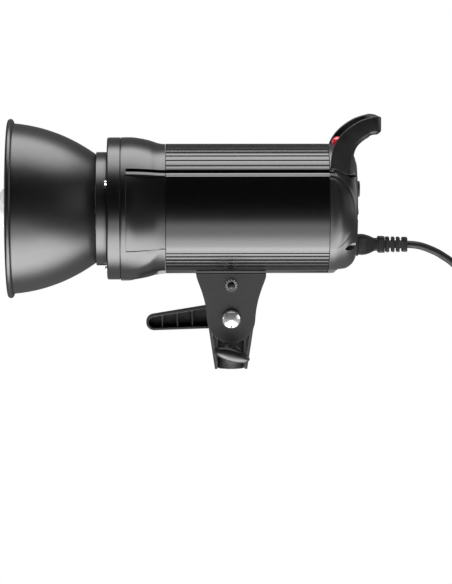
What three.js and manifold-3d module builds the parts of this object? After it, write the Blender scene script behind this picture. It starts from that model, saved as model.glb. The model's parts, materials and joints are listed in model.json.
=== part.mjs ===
// Studio monolight strobe with a bowl reflector, on a tilting stand bracket.
// Millimetres. The lamp axis runs along X, the reflector opens towards -X, +Z is up.
// The origin is the centre of the lower face of the stand socket.
import * as THREE from 'three';
import { mergeVertices } from 'three/addons/utils/BufferGeometryUtils.js';
import Module from 'manifold-3d';

const wasm = await Module();
wasm.setup();

// ---- driving dimensions ----
const GAP = 0.3; // clearance left between neighbouring pieces
const AXIS_Z = 160; // lamp axis above the lower face of the socket
const ROUND = 40; // segments round the large turned parts

const RIM_X = -219.3; // centre of the rolled rim
const RIM_RADIUS = 86.4;
const RIM_ROLL = 3;
const BOWL_BACK_X = -134.6;
const BOWL_WALL = 1.5;
const COLLAR_RADIUS = 56.3;
const COLLAR_FRONT_X = -134.3;
const COLLAR_BACK_X = -123.7;
const SPIGOT_RADIUS = 48.6;
const SPIGOT_BORE = 46.5;
const SPIGOT_END_X = -113.6;
const LUG_RADIUS = 53.2;
const LUG_DEGREES = 20;
const NOTCH_DEGREES = 26;
const UNLOCK_DEGREES = 30; // turn from the locked lugs to the notches
const RING_FRONT_X = -123.3;
const RING_BACK_X = -110.1;
const RING_RADIUS = 70.9;
const PIN_CIRCLE = 60; // radius of the circle that holds the lock pin and the studs

const BELL_FRONT_X = -109.8;
const TUBE_FRONT_X = -65.3;
const TUBE_BACK_X = 96.2;
const TUBE_RADIUS = 64.5;
const TUBE_BORE = 61;
const RIB_PITCH = 6.6; // degrees between the narrow grooves above
const LOW_RIB_PITCH = 5.15; // and between those below
const LOW_RIB_START = 29.8; // degrees from the bottom
const GROOVE_HALF = 0.6; // degrees
const GROOVE_RADIUS = 63.2;
const KEEL_HALF = 20;
const KEEL_Z = 96.6;
const SHELL_FRONT_X = 96.5;
const SCREW_Y = 45;
const SCREW_RISE = 35; // of the rear screws above and below the lamp axis
const PANEL_HALF = 34.6; // half height of the smooth side panels
const PANEL_DEPTH = 0.7;
const PANEL_REACH = 60.2; // from the lamp axis to the middle of a side panel
const PANEL_ARC = 95; // radius of a side panel's section
const PANEL_WALL = 2.7;

const PIVOT_Z = 51;
const EAR_RADIUS = 24;
const EAR_INNER_Y = 18;
const EAR_OUTER_Y = 21;
const KNUCKLE_RADIUS = 22.8;
const KNUCKLE_HALF = 16.4;
const BOLT_RADIUS = 5;
const STAND_TUBE_RADIUS = 13.5;
const SPIGOT_HOLE_RADIUS = 8.1; // takes a 16 mm stand spigot
const LOCK_Z = 17;

const PLUG_Y = 10;
const PLUG_Z = 123;
const DIAL_Y = -18;
const DIAL_Z = 180.3;
const ROCKER_Y = -17;
const ROCKER_Z = 124;

// ---- shapes and solids ----
const degrees = THREE.MathUtils.degToRad;
const point = (x, y) => new THREE.Vector2(x, y);

// Volume inside a triangle list, negative where its faces point inwards.
function signedVolume(vertices, triangles) {
  const corner = (i) => new THREE.Vector3().fromArray(vertices, triangles[i] * 3);
  let volume = 0;
  for (let i = 0; i < triangles.length; i += 3) {
    volume += corner(i).dot(corner(i + 1).cross(corner(i + 2))) / 6;
  }
  return volume;
}

// A closed geometry as a manifold solid whose faces point outwards.
function solid(geometry) {
  const bare = geometry.index ? geometry.toNonIndexed() : geometry.clone();
  bare.deleteAttribute('normal');
  bare.deleteAttribute('uv');
  const merged = mergeVertices(bare, 1e-4);
  const vertices = merged.attributes.position.array;
  const triangles = [];
  for (let i = 0; i < merged.index.count; i += 3) {
    const [a, b, c] = merged.index.array.slice(i, i + 3);
    if (a !== b && b !== c && c !== a) triangles.push(a, b, c);
  }
  if (signedVolume(vertices, triangles) < 0) triangles.reverse();
  return new wasm.Manifold(
    new wasm.Mesh({
      numProp: 3,
      vertProperties: vertices,
      triVerts: new Uint32Array(triangles),
    }),
  );
}

// Turned about the lamp axis, or about a line along X at (y, z). Profile: [x, radius].
function turned(profile, segments = ROUND, y = 0, z = AXIS_Z) {
  const points = profile.map(([x, radius]) => point(radius, x));
  const first = points[0];
  const last = points[points.length - 1];
  const closed = first.x !== 0 || last.x !== 0;
  if (closed) points.push(first.clone());
  const geometry = new THREE.LatheGeometry(points, segments);
  geometry.rotateZ(-Math.PI / 2);
  geometry.translate(0, y, z);
  return solid(geometry);
}

// A disc or rod along X, Y or Z. Centre: the two coordinates across the axis, in order.
function rod(axis, centre, radius, from, to, segments = 24) {
  const geometry = new THREE.CylinderGeometry(radius, radius, to - from, segments);
  const middle = (from + to) / 2;
  if (axis === 'x') geometry.rotateZ(Math.PI / 2).translate(middle, ...centre);
  if (axis === 'y') geometry.translate(centre[0], middle, centre[1]);
  if (axis === 'z') geometry.rotateX(Math.PI / 2).translate(...centre, middle);
  return solid(geometry);
}

function box(x0, x1, y0, y1, z0, z1) {
  const geometry = new THREE.BoxGeometry(x1 - x0, y1 - y0, z1 - z0);
  geometry.translate((x0 + x1) / 2, (y0 + y1) / 2, (z0 + z1) / 2);
  return solid(geometry);
}

const extruded = (shape, depth, curveSegments) =>
  new THREE.ExtrudeGeometry(shape, { depth, bevelEnabled: false, curveSegments });

// An outline in (X, Z), as thick as from y0 to y1.
function acrossY(shape, y0, y1, curveSegments = 8) {
  const geometry = extruded(shape, y1 - y0, curveSegments);
  geometry.rotateX(Math.PI / 2);
  geometry.translate(0, y1, 0);
  return solid(geometry);
}

// An outline in (Y, Z), as long as from x0 to x1.
function alongX(shape, x0, x1, curveSegments = 8) {
  const geometry = extruded(shape, x1 - x0, curveSegments);
  geometry.applyMatrix4(
    new THREE.Matrix4().makeBasis(
      new THREE.Vector3(0, 1, 0),
      new THREE.Vector3(0, 0, 1),
      new THREE.Vector3(1, 0, 0),
    ),
  );
  geometry.translate(x0, 0, 0);
  return solid(geometry);
}

// An outline in (X, Y), as high as from z0 to z1.
function upright(shape, z0, z1, curveSegments = 8) {
  const geometry = extruded(shape, z1 - z0, curveSegments);
  geometry.translate(0, 0, z0);
  return solid(geometry);
}

function roundedRectangle(x0, x1, y0, y1, radius) {
  const shape = new THREE.Shape();
  shape.moveTo(x0 + radius, y0);
  shape.lineTo(x1 - radius, y0);
  shape.absarc(x1 - radius, y0 + radius, radius, -Math.PI / 2, 0);
  shape.lineTo(x1, y1 - radius);
  shape.absarc(x1 - radius, y1 - radius, radius, 0, Math.PI / 2);
  shape.lineTo(x0 + radius, y1);
  shape.absarc(x0 + radius, y1 - radius, radius, Math.PI / 2, Math.PI);
  shape.lineTo(x0, y0 + radius);
  shape.absarc(x0 + radius, y0 + radius, radius, Math.PI, Math.PI * 1.5);
  return shape;
}

// A slice of a ring about the lamp axis, in (Y, Z). Angles in degrees from +Y towards +Z.
function ringSlice(inner, outer, middle, width) {
  const from = degrees(middle - width / 2);
  const to = degrees(middle + width / 2);
  const shape = new THREE.Shape();
  shape.absarc(0, AXIS_Z, outer, from, to, false);
  shape.absarc(0, AXIS_Z, inner, to, from, true);
  return shape;
}

// A round section swept along a curve.
function swept(curve, radius, steps, sides = 10) {
  const section = new THREE.Shape();
  for (let i = 0; i < sides; i++) {
    const angle = (i / sides) * 2 * Math.PI;
    const at = [radius * Math.cos(angle), radius * Math.sin(angle)];
    if (i === 0) section.moveTo(...at);
    else section.lineTo(...at);
  }
  return solid(new THREE.ExtrudeGeometry(section, { steps, extrudePath: curve }));
}

// ---- materials ----
const matt = (color, roughness = 0.55) => ({ color, roughness, metalness: 0 });
const metal = (color, roughness = 0.3) => ({ color, roughness, metalness: 1 });
const FINISH = {
  housing: matt('#26272a', 0.42),
  bowl: metal('#3a3b3e', 0.45),
  bracket: matt('#3b3c3e', 0.6),
  grip: matt('#1d1e20', 0.6),
  rubber: matt('#17181a', 0.75),
  chrome: metal('#e6e8ea', 0.12),
  steel: metal('#a3a6aa', 0.3),
  brass: metal('#c2a255', 0.35),
  aluminium: metal('#c8cbce', 0.3),
  ceramic: matt('#e9e6dd', 0.35),
  frosted: matt('#f4f3ee', 0.3),
  clear: matt('#dfe7ea', 0.05),
  display: matt('#10181c', 0.08),
  red: matt('#c3121d', 0.15),
  board: matt('#1f5a3a', 0.5),
  sleeve: matt('#23324f', 0.4),
  winding: metal('#a8672f', 0.4),
};

const group = new THREE.Group();
group.name = 'monolight_strobe';

function add(name, made, finish) {
  const mesh = made.getMesh();
  const geometry = new THREE.BufferGeometry();
  const count = mesh.numProp;
  const positions = new Float32Array(mesh.numVert * 3);
  for (let i = 0; i < mesh.numVert; i++) {
    positions.set(mesh.vertProperties.subarray(i * count, i * count + 3), i * 3);
  }
  geometry.setAttribute('position', new THREE.BufferAttribute(positions, 3));
  geometry.setIndex(new THREE.BufferAttribute(mesh.triVerts, 1));
  geometry.computeVertexNormals();
  const material = new THREE.MeshStandardMaterial(FINISH[finish]);
  const node = new THREE.Mesh(geometry, material);
  node.name = name;
  group.add(node);
}

// ---- reflector ----
const curvePoints = (from, control, to, steps) =>
  new THREE.QuadraticBezierCurve(point(...from), point(...control), point(...to))
    .getPoints(steps)
    .map((p) => [p.x, p.y]);

function reflectorBowl() {
  const roll = [-30, 30, 90, 135, 180, 240].map((angle) => [
    RIM_X + RIM_ROLL * Math.cos(degrees(angle)),
    RIM_RADIUS + RIM_ROLL * Math.sin(degrees(angle)),
  ]);
  return turned([
    [BOWL_BACK_X, SPIGOT_BORE],
    ...curvePoints([BOWL_BACK_X, 54.3], [-172, 81], [RIM_X + 4, 84.9], 6).slice(0, -1),
    ...roll,
    ...curvePoints([RIM_X + 3.6, 83.3], [-172.8, 79.3], [BOWL_BACK_X - BOWL_WALL, 52.8], 6).slice(1),
    [BOWL_BACK_X - BOWL_WALL, SPIGOT_BORE],
  ]);
}

function bayonetCollar() {
  let collar = turned([
    [COLLAR_FRONT_X, SPIGOT_BORE],
    [COLLAR_FRONT_X, COLLAR_RADIUS - 1],
    [COLLAR_FRONT_X + 1, COLLAR_RADIUS],
    [COLLAR_BACK_X - 0.6, COLLAR_RADIUS],
    [COLLAR_BACK_X, COLLAR_RADIUS - 0.6],
    [COLLAR_BACK_X, SPIGOT_RADIUS],
    [SPIGOT_END_X, SPIGOT_RADIUS],
    [SPIGOT_END_X, SPIGOT_BORE],
  ]);
  for (const angle of [90, 210, 330]) {
    const lug = ringSlice(SPIGOT_RADIUS - 0.8, LUG_RADIUS, angle, LUG_DEGREES);
    collar = collar.add(alongX(lug, -118.4, -114.4, 4));
  }
  return collar;
}

function frontRing() {
  let ring = turned([
    [RING_FRONT_X, 50],
    [RING_FRONT_X, RING_RADIUS - 1.8],
    [RING_FRONT_X + 0.5, RING_RADIUS - 0.5],
    [RING_FRONT_X + 1.8, RING_RADIUS],
    [RING_BACK_X - 1, RING_RADIUS],
    [RING_BACK_X, RING_RADIUS - 0.8],
    [RING_BACK_X, 54.5],
    [-119, 54.5],
    [-119, 50],
  ]);
  for (const angle of [90, 210, 330]) {
    const notch = ringSlice(49, 53.9, angle + UNLOCK_DEGREES, NOTCH_DEGREES);
    ring = ring.subtract(alongX(notch, RING_FRONT_X - 1, -118.8, 4));
  }
  const hole = (angle) => {
    const [y, z] = onCircle(PIN_CIRCLE, angle);
    return rod('x', [y, z], 2.8, RING_FRONT_X - 1, -114, 16);
  };
  return PIN_ANGLES.reduce((made, angle) => made.subtract(hole(angle)), ring);
}

// The lock pin first, then the two fixed studs: degrees from +Y towards +Z.
const PIN_ANGLES = [152, 270, 28];

function onCircle(radius, angle) {
  const turn = degrees(angle);
  return [radius * Math.cos(turn), AXIS_Z + radius * Math.sin(turn)];
}

function mountPin(angle) {
  const [y, z] = onCircle(PIN_CIRCLE, angle);
  return turned([[-125.6, 0], [-125.6, 1.7], [-125, 2.3], [-118, 2.3], [-118, 0]], 16, y, z);
}

add('reflector_bowl', reflectorBowl(), 'bowl');
add('bayonet_collar', bayonetCollar(), 'bowl');
add('front_ring', frontRing(), 'housing');
add('reflector_lock_pin', mountPin(PIN_ANGLES[0]), 'chrome');
add('locating_stud_low', mountPin(PIN_ANGLES[1]), 'chrome');
add('locating_stud_far', mountPin(PIN_ANGLES[2]), 'chrome');

// ---- front bell ----
const BELL_OUTER = [
  [BELL_FRONT_X, 71.2],
  [-97, 71],
  [-89, 69.7],
  [-81, 67.6],
  [-75.5, 65.9],
  [-70, 64.7],
  [TUBE_FRONT_X - GAP, TUBE_RADIUS],
];

// The side panels' outline in (X, Z), one shape that crosses bell, tube and rear shell.
function sidePanelOutline() {
  return roundedRectangle(-106.6, 123.4, AXIS_Z - PANEL_HALF, AXIS_Z + PANEL_HALF, 22);
}

// Half width of the side panels' section at a height above the lamp axis.
const panelReach = (rise) => PANEL_REACH - PANEL_ARC + Math.sqrt(PANEL_ARC ** 2 - rise ** 2);

// A solid round the lamp axis through [x, radius] rows, its two sides flattened by share(x).
function flattened(rows, share, inset) {
  const rings = rows.map(([x, radius]) => {
    const ring = [];
    for (let i = 0; i < ROUND; i++) {
      const angle = (i / ROUND) * 2 * Math.PI;
      const y = radius * Math.cos(angle);
      const rise = radius * Math.sin(angle);
      const flat = Math.min(Math.abs(y), panelReach(rise) - inset);
      const reach = THREE.MathUtils.lerp(Math.abs(y), flat, share(x));
      ring.push([x, Math.sign(y) * reach, AXIS_Z + rise]);
    }
    return ring;
  });
  return throughRings(rings);
}

// A closed solid through rings of equal point counts.
function throughRings(rings) {
  const size = rings[0].length;
  const last = (rings.length - 1) * size;
  const faces = [];
  for (let ring = 0; ring < rings.length - 1; ring++) {
    for (let i = 0; i < size; i++) {
      const [a, b] = [ring * size + i, ring * size + ((i + 1) % size)];
      faces.push(a, b, b + size, a, b + size, a + size);
    }
  }
  for (let i = 1; i < size - 1; i++) {
    faces.push(0, i + 1, i, last, last + i, last + i + 1);
  }
  const geometry = new THREE.BufferGeometry();
  geometry.setAttribute('position', new THREE.Float32BufferAttribute(rings.flat(2), 3));
  geometry.setIndex(faces);
  return solid(geometry);
}

const insetRows = (rows, inset) => rows.map(([x, radius]) => [x, radius - inset]);

// The skin that is taken off a turned part inside the side panels' outline.
function panelSkin(outer, share) {
  const rows = insetRows(outer, PANEL_DEPTH);
  const [x0, radius0] = rows[0];
  const [x1, radius1] = rows[rows.length - 1];
  const core = flattened([[x0 - 1, radius0], ...rows, [x1 + 1, radius1]], share, 0);
  return acrossY(sidePanelOutline(), -80, 80, 6).subtract(core);
}

function frontBell() {
  const back = TUBE_FRONT_X - GAP;
  const share = (x) => THREE.MathUtils.smoothstep(x, -106, back);
  const wall = 3;
  const inner = insetRows(BELL_OUTER, wall);
  const hollow = [[BELL_FRONT_X - 1, inner[0][1]], ...inner, [back + 1, TUBE_RADIUS - wall]];
  return turned([[BELL_FRONT_X, 0], ...BELL_OUTER, [back, 0]])
    .subtract(panelSkin(BELL_OUTER, share))
    .subtract(flattened(hollow, share, PANEL_WALL));
}

add('front_bell', frontBell(), 'housing');

// ---- ribbed tube ----
// Half of the section as [angle from the top, radius], from the top down to the keel.
function tubeHalfSection() {
  const rows = [[0, GROOVE_RADIUS]];
  const groove = (angle) => {
    rows.push([angle - GROOVE_HALF, TUBE_RADIUS], [angle - GROOVE_HALF, GROOVE_RADIUS]);
    rows.push([angle + GROOVE_HALF, GROOVE_RADIUS], [angle + GROOVE_HALF, TUBE_RADIUS]);
  };
  rows.push([GROOVE_HALF, GROOVE_RADIUS], [GROOVE_HALF, TUBE_RADIUS]);
  for (let i = 1; i <= 7; i++) groove(i * RIB_PITCH);
  rows.push([51.1, TUBE_RADIUS], [51.1, 62.4], [53.8, 62.4], [53.8, 64.7], [56.8, 64.8]);
  for (let i = 0; i <= 10; i++) {
    const rise = PANEL_HALF * (1 - i / 5);
    const reach = panelReach(rise);
    rows.push([90 - THREE.MathUtils.radToDeg(Math.atan2(rise, reach)), Math.hypot(reach, rise)]);
  }
  rows.push([123.2, 64.6], [128.3, TUBE_RADIUS], [128.3, 62.8], [131, 62.8], [131, TUBE_RADIUS]);
  for (let i = 3; i >= 0; i--) groove(180 - LOW_RIB_START - i * LOW_RIB_PITCH);
  rows.push([161.9, TUBE_RADIUS]);
  return rows;
}

// The tube's round bore, flattened behind the side panels.
function flatBore(from, to) {
  const side = (y) => rod('x', [y, AXIS_Z], PANEL_ARC - PANEL_WALL, from, to, 96);
  const off = PANEL_ARC - PANEL_REACH;
  return rod('x', [0, AXIS_Z], TUBE_BORE, from, to, ROUND).intersect(side(-off)).intersect(side(off));
}

function bodyTube() {
  const half = tubeHalfSection().map(([angle, radius]) => [
    radius * Math.sin(degrees(angle)),
    AXIS_Z + radius * Math.cos(degrees(angle)),
  ]);
  half.push([KEEL_HALF, KEEL_Z]);
  const mirrored = half.slice(1).reverse().map(([y, z]) => [-y, z]);
  const shape = new THREE.Shape([...half, ...mirrored].map(([y, z]) => point(y, z)));
  const bore = flatBore(TUBE_FRONT_X - 1, TUBE_BACK_X + 1);
  let tube = alongX(shape, TUBE_FRONT_X, TUBE_BACK_X).subtract(bore);
  for (const [y, z] of rearScrewPlaces()) {
    const channel = rod('x', [y, z], 4.3, TUBE_FRONT_X, TUBE_BACK_X, 12);
    const thread = rod('x', [y, z], 2.2, TUBE_FRONT_X - 1, TUBE_BACK_X + 1, 10);
    tube = tube.add(channel).subtract(thread);
  }
  for (const [x, y] of bracketScrewPlaces()) {
    tube = tube.subtract(rod('z', [x, y], 2.5, KEEL_Z - 1, 105, 12));
  }
  return tube;
}

function rearScrewPlaces() {
  const places = [];
  for (const y of [-SCREW_Y, SCREW_Y]) {
    for (const rise of [-SCREW_RISE, SCREW_RISE]) places.push([y, AXIS_Z + rise]);
  }
  return places;
}

function bracketScrewPlaces() {
  return [[-26, -10], [-26, 10], [26, -10], [26, 10]];
}

add('body_tube', bodyTube(), 'housing');

// ---- rear shell and its control panel ----
const SHELL_OUTER = [
  [SHELL_FRONT_X, 64.4],
  [102.5, 63.9],
  [109.5, 61.4],
  [116, 58.6],
  [120.4, 55.8],
  [123.1, 52.6],
  [124.2, 48.8],
  [124.9, 38],
  [125.8, 12],
];

const shellOuterSolid = () => turned([[SHELL_FRONT_X, 0], ...SHELL_OUTER, [125.9, 0]]);
const backPanelOutline = (extra) =>
  roundedRectangle(-31 - extra, 31 + extra, 110.6 - extra, 207 + extra, 16);

// Holes that the controls need in the control panel.
function controlHoles() {
  const holes = [
    alongX(roundedRectangle(-20.3, 20.3, 189.7, 204.3, 2.3), 118, 130),
    rod('x', [DIAL_Y, DIAL_Z], 3.4, 118, 130, 16),
    rod('x', [DIAL_Y, 155], 4.3, 118, 130, 16),
    rod('x', [18, 155], 5.8, 118, 130, 20),
    box(118, 130, ROCKER_Y - 7.3, ROCKER_Y + 7.3, ROCKER_Z - 10.3, ROCKER_Z + 10.3),
    box(118, 130, PLUG_Y - 14.3, PLUG_Y + 14.3, PLUG_Z - 10.8, PLUG_Z + 10.8),
  ];
  for (const y of BUTTON_Y) holes.push(rod('x', [y, DIAL_Z], 3.9, 118, 130, 16));
  return wasm.Manifold.union(holes);
}

const BUTTON_Y = [2, 14, 26];

function rearShell() {
  const lower = box(SHELL_FRONT_X - 1, 130, -70, 70, 60, 100.5);
  const keelEnd = new THREE.Shape([
    point(SHELL_FRONT_X, KEEL_Z),
    point(101.8, KEEL_Z),
    point(106, 100.6),
    point(106, 104),
    point(SHELL_FRONT_X, 104),
  ]);
  const outer = shellOuterSolid()
    .subtract(lower)
    .add(acrossY(keelEnd, -KEEL_HALF, KEEL_HALF));
  const cavity = turned([
    [SHELL_FRONT_X - 1, 0],
    [SHELL_FRONT_X - 1, TUBE_BORE],
    [107, 59],
    [116, 54.6],
    [120.4, 49],
    [121.4, 40],
    [122.4, 0],
  ]).intersect(box(90, 130, -70, 70, 103.4, 230)).intersect(flatBore(90, 130));
  let shell = outer.subtract(cavity);
  for (const [y, z] of rearScrewPlaces()) {
    const column = rod('x', [y, z], 5.6, 103.5, 119, 12).intersect(shellOuterSolid());
    const bore = rod('x', [y, z], 4, 108.2, 130, 14);
    shell = shell.add(column).subtract(bore).subtract(rod('x', [y, z], 2.2, 90, 130, 8));
  }
  shell = shell.subtract(rod('z', [106.5, 0], 6.6, 200, 230, 20));
  shell = shell.subtract(alongX(backPanelOutline(GAP), 112, 130));
  const share = (x) => 1 - THREE.MathUtils.smoothstep(x, SHELL_FRONT_X, 114);
  return shell.subtract(panelSkin(SHELL_OUTER.slice(0, 8), share));
}

// A slab that follows the domed rear face, cut to an outline in (Y, Z).
function rearSlab(outline, from, sunk = 0) {
  return shellOuterSolid().translate([-sunk, 0, 0]).intersect(alongX(outline, from, 130, 5));
}

add('rear_shell', rearShell(), 'housing');
add('control_panel', rearSlab(backPanelOutline(0), 121.6).subtract(controlHoles()), 'grip');
add('display_window', rearSlab(roundedRectangle(-20, 20, 190, 204, 2), 121.6, 0.2), 'display');

function powerDial() {
  const grip = new THREE.Shape();
  const teeth = 20;
  for (let i = 0; i < teeth * 2; i++) {
    const radius = i % 2 ? 7.5 : 7.9;
    const angle = (i / (teeth * 2)) * 2 * Math.PI;
    const at = [DIAL_Y + radius * Math.cos(angle), DIAL_Z + radius * Math.sin(angle)];
    if (i === 0) grip.moveTo(...at);
    else grip.lineTo(...at);
  }
  return alongX(grip, 125.8, 127.1)
    .add(rod('x', [DIAL_Y, DIAL_Z], 6.9, 127, 127.6, 24))
    .add(rod('x', [DIAL_Y, DIAL_Z], 3, 117, 126, 16));
}

const button = (y) =>
  turned([[120.5, 0], [120.5, 3.5], [125.9, 3.5], [126.4, 2.9], [126.5, 0]], 16, y, DIAL_Z);

add('power_dial', powerDial(), 'grip');
add('lamp_button', button(BUTTON_Y[0]), 'grip');
add('slave_button', button(BUTTON_Y[1]), 'grip');
add('test_button', button(BUTTON_Y[2]), 'red');

function syncJack() {
  return turned(
    [[112, 2], [112, 4], [126, 4], [126.2, 3.6], [126.2, 2]],
    16,
    DIAL_Y,
    155,
  );
}

function fuseCap() {
  const cap = turned([[116, 0], [116, 5.5], [125.9, 5.5], [126.4, 5], [126.4, 0]], 20, 18, 155);
  return cap.subtract(box(125.5, 128, 13, 23, 154.4, 155.6));
}

// The rocker is at rest with its upper end pressed in.
function powerRocker() {
  const rest = 7;
  const outline = new THREE.Shape([
    point(117, -5),
    point(124, -7.6),
    point(126.6, -8),
    point(125.9, 0),
    point(126.6, 8),
    point(124, 7.6),
    point(117, 5),
  ]);
  return acrossY(outline, -5.4, 5.4)
    .translate([-121, 0, 0])
    .rotate([0, -rest, 0])
    .translate([121, ROCKER_Y, ROCKER_Z]);
}

function rockerBezel() {
  const outer = box(116, 126, ROCKER_Y - 7, ROCKER_Y + 7, ROCKER_Z - 10, ROCKER_Z + 10);
  return outer.subtract(
    box(110, 130, ROCKER_Y - 5.8, ROCKER_Y + 5.8, ROCKER_Z - 9.1, ROCKER_Z + 9.1),
  );
}

add('sync_jack', syncJack(), 'steel');
add('fuse_cap', fuseCap(), 'rubber');
add('rocker_bezel', rockerBezel(), 'rubber');
add('power_rocker', powerRocker(), 'rubber');

// ---- mains inlet and lead ----
function inletPins(extra) {
  const places = [[-7, -1.5], [7, -1.5], [0, 2.5]];
  return places.map(([y, z]) =>
    box(
      106,
      121 + extra * 3,
      PLUG_Y + y - 1 - extra,
      PLUG_Y + y + 1 + extra,
      PLUG_Z + z - 2 - extra,
      PLUG_Z + z + 2 + extra,
    ),
  );
}

function mainsInlet() {
  const housing = alongX(
    roundedRectangle(PLUG_Y - 14, PLUG_Y + 14, PLUG_Z - 10.5, PLUG_Z + 10.5, 2),
    104,
    126,
    3,
  );
  const well = alongX(
    roundedRectangle(PLUG_Y - 12.4, PLUG_Y + 12.4, PLUG_Z - 8.6, PLUG_Z + 8.6, 2),
    108,
    130,
    3,
  );
  return inletPins(0).reduce((made, pin) => made.add(pin), housing.subtract(well));
}

// Section of the lead's plug and strain relief: [x, half width in Y, half height in Z].
const PLUG_SECTIONS = [
  [126.6, 13.2, 9.3],
  [128.5, 13.6, 9.8],
  [133, 13.4, 9.7],
  [138, 11.4, 8.8],
  [143.2, 8, 7],
  [147.4, 7, 6.4],
];

// A solid lofted through rounded rectangles centred on the plug's axis.
function lofted(sections, corner) {
  const rings = sections.map(([x, half, height]) =>
    roundedRectangle(-half, half, -height, height, Math.min(half, height) * corner)
      .getPoints(3)
      .slice(0, -1)
      .map((p) => [x, PLUG_Y + p.x, PLUG_Z + p.y]),
  );
  return throughRings(rings);
}

function mainsPlug() {
  const nose = alongX(
    roundedRectangle(PLUG_Y - 12, PLUG_Y + 12, PLUG_Z - 8.2, PLUG_Z + 8.2, 2),
    108.4,
    127,
    3,
  );
  const slots = inletPins(GAP);
  return slots.reduce((made, slot) => made.subtract(slot), lofted(PLUG_SECTIONS, 0.3).add(nose));
}

// Collar and rings of the strain relief, with gaps bridged by its core.
function strainRelief() {
  const core = 5.2;
  const bore = 4.1;
  const rings = [[147.7, 154.4, 8.1], [156.4, 159.1, 7.6], [161.4, 164.4, 7.5]];
  rings.push([166.6, 169.6, 7.4], [171.8, 177, 6.6]);
  const rows = rings.flatMap(([from, to, radius]) => [
    [from, core],
    [from, radius],
    [to, radius],
    [to, core],
  ]);
  rows[0][1] = 0;
  rows[rows.length - 1][1] = bore;
  return turned([...rows, [160, bore], [160, 0]], 16, PLUG_Y, PLUG_Z);
}

function mainsLead() {
  const places = [[161, 123], [176, 123], [187.7, 122], [197.4, 119.2], [207.2, 114.9]];
  places.push([213.8, 111], [221.4, 105.8], [230.6, 97.6]);
  const curve = new THREE.CatmullRomCurve3(
    places.map(([x, z]) => new THREE.Vector3(x, PLUG_Y, z)),
  );
  return swept(curve, 3.75, 14, 10);
}

add('mains_inlet', mainsInlet(), 'rubber');
add('mains_plug', mainsPlug(), 'rubber');
add('strain_relief', strainRelief(), 'rubber');
add('mains_lead', mainsLead(), 'rubber');

function rearScrew([y, z]) {
  const rows = [[85, 0], [85, 1.8], [108.5, 1.8], [108.5, 3.4], [110.4, 3.4], [111.2, 2.4]];
  return turned([...rows, [111.2, 0]], 12, y, z);
}

const SCREW_NAMES = ['near_low', 'near_high', 'far_low', 'far_high'];
rearScrewPlaces().forEach((place, i) => {
  add('rear_screw_' + SCREW_NAMES[i], rearScrew(place), 'steel');
});

// ---- handle and slave sensor ----
function handle() {
  const side = new THREE.Shape();
  side.moveTo(97, 190);
  side.lineTo(97.2, 204);
  side.bezierCurveTo(98, 224, 108, 241, 129, 249.7);
  side.bezierCurveTo(135, 252, 140, 254, 145.6, 254.7);
  side.lineTo(147, 253.4);
  side.lineTo(147.2, 237.6);
  side.lineTo(145.4, 235);
  side.bezierCurveTo(134, 232.6, 124, 227.4, 120.6, 216.4);
  side.bezierCurveTo(119.6, 210, 119.4, 202, 119.4, 190);
  const plan = new THREE.Shape();
  plan.moveTo(90, -49.5);
  plan.lineTo(116, -49.5);
  plan.bezierCurveTo(130, -48.5, 142, -45, 148, -38);
  plan.lineTo(148, 38);
  plan.bezierCurveTo(142, 45, 130, 48.5, 116, 49.5);
  plan.lineTo(90, 49.5);
  const inside = new THREE.Path();
  inside.moveTo(88, -38);
  inside.lineTo(116, -38);
  inside.bezierCurveTo(126, -37, 131, -34, 133.5, -28);
  inside.lineTo(133.5, 28);
  inside.bezierCurveTo(131, 34, 126, 37, 116, 38);
  inside.lineTo(88, 38);
  const window = upright(new THREE.Shape(inside.getPoints(5)), 180, 270);
  const clear = (rows) => rows.map(([x, radius]) => [x, radius + GAP]);
  const back = SHELL_FRONT_X - 12;
  const shell = turned([[back, 0], [back, 64.9], ...clear(SHELL_OUTER), [127, 0]]);
  return acrossY(side, -50, 50, 8)
    .intersect(upright(plan, 180, 270, 5))
    .subtract(window)
    .subtract(shell)
    .intersect(box(90, 150, -50, 50, 196, 260));
}

function slaveSensor() {
  const rows = [[0, 222], [6.3, 222], [6.3, 225.5]];
  for (let i = 1; i <= 5; i++) {
    const angle = degrees(i * 18);
    rows.push([6.3 * Math.cos(angle), 225.5 + 6.3 * Math.sin(angle)]);
  }
  rows[rows.length - 1][0] = 0;
  const geometry = new THREE.LatheGeometry(rows.map(([radius, z]) => point(radius, z)), 20);
  geometry.rotateX(Math.PI / 2).translate(106.5, 0, 0);
  return solid(geometry);
}

add('handle', handle(), 'grip');
add('slave_sensor_dome', slaveSensor(), 'red');

// ---- lamp, flash tube and their carrier ----
function carrierPlate() {
  const plate = rod('x', [0, AXIS_Z], 54, -112.4, -110.4, 40);
  return plate.subtract(rod('x', [0, AXIS_Z], 14, -114, -108, 24));
}

function lampSocket() {
  return turned(
    [
      [-148, 14],
      [-148, 17.6],
      [-146, 19],
      [-118, 19.5],
      [-118, 24],
      [-112.7, 24],
      [-112.7, 8],
      [-121, 8],
      [-121, 14],
    ],
    28,
  );
}

const LAMP_FRONT_X = -234.6;
const LAMP_WALL = 1.5;

function lampGlass() {
  const radius = 30;
  const centre = LAMP_FRONT_X + radius;
  const bulb = (inset) => {
    const rows = [];
    for (let i = 0; i <= 8; i++) {
      const angle = degrees(i * 15);
      const reach = radius - inset;
      rows.push([centre - reach * Math.cos(angle), reach * Math.sin(angle)]);
    }
    rows.push([-177, 20.4 - inset], [-166, 15.4 - inset], [-156, 13.4 - inset]);
    rows.push([-153.3, 13 - inset]);
    return rows;
  };
  return turned([...bulb(0), ...bulb(LAMP_WALL).reverse()], 28);
}

function lampCap() {
  const rows = [[-153, 0], [-153, 13]];
  for (let x = -150; x <= -134; x += 5.4) rows.push([x, 12.5], [x + 2.7, 13.3]);
  rows.push([-131, 12.4], [-126.5, 6], [-125, 0]);
  return turned(rows, 18);
}

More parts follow.
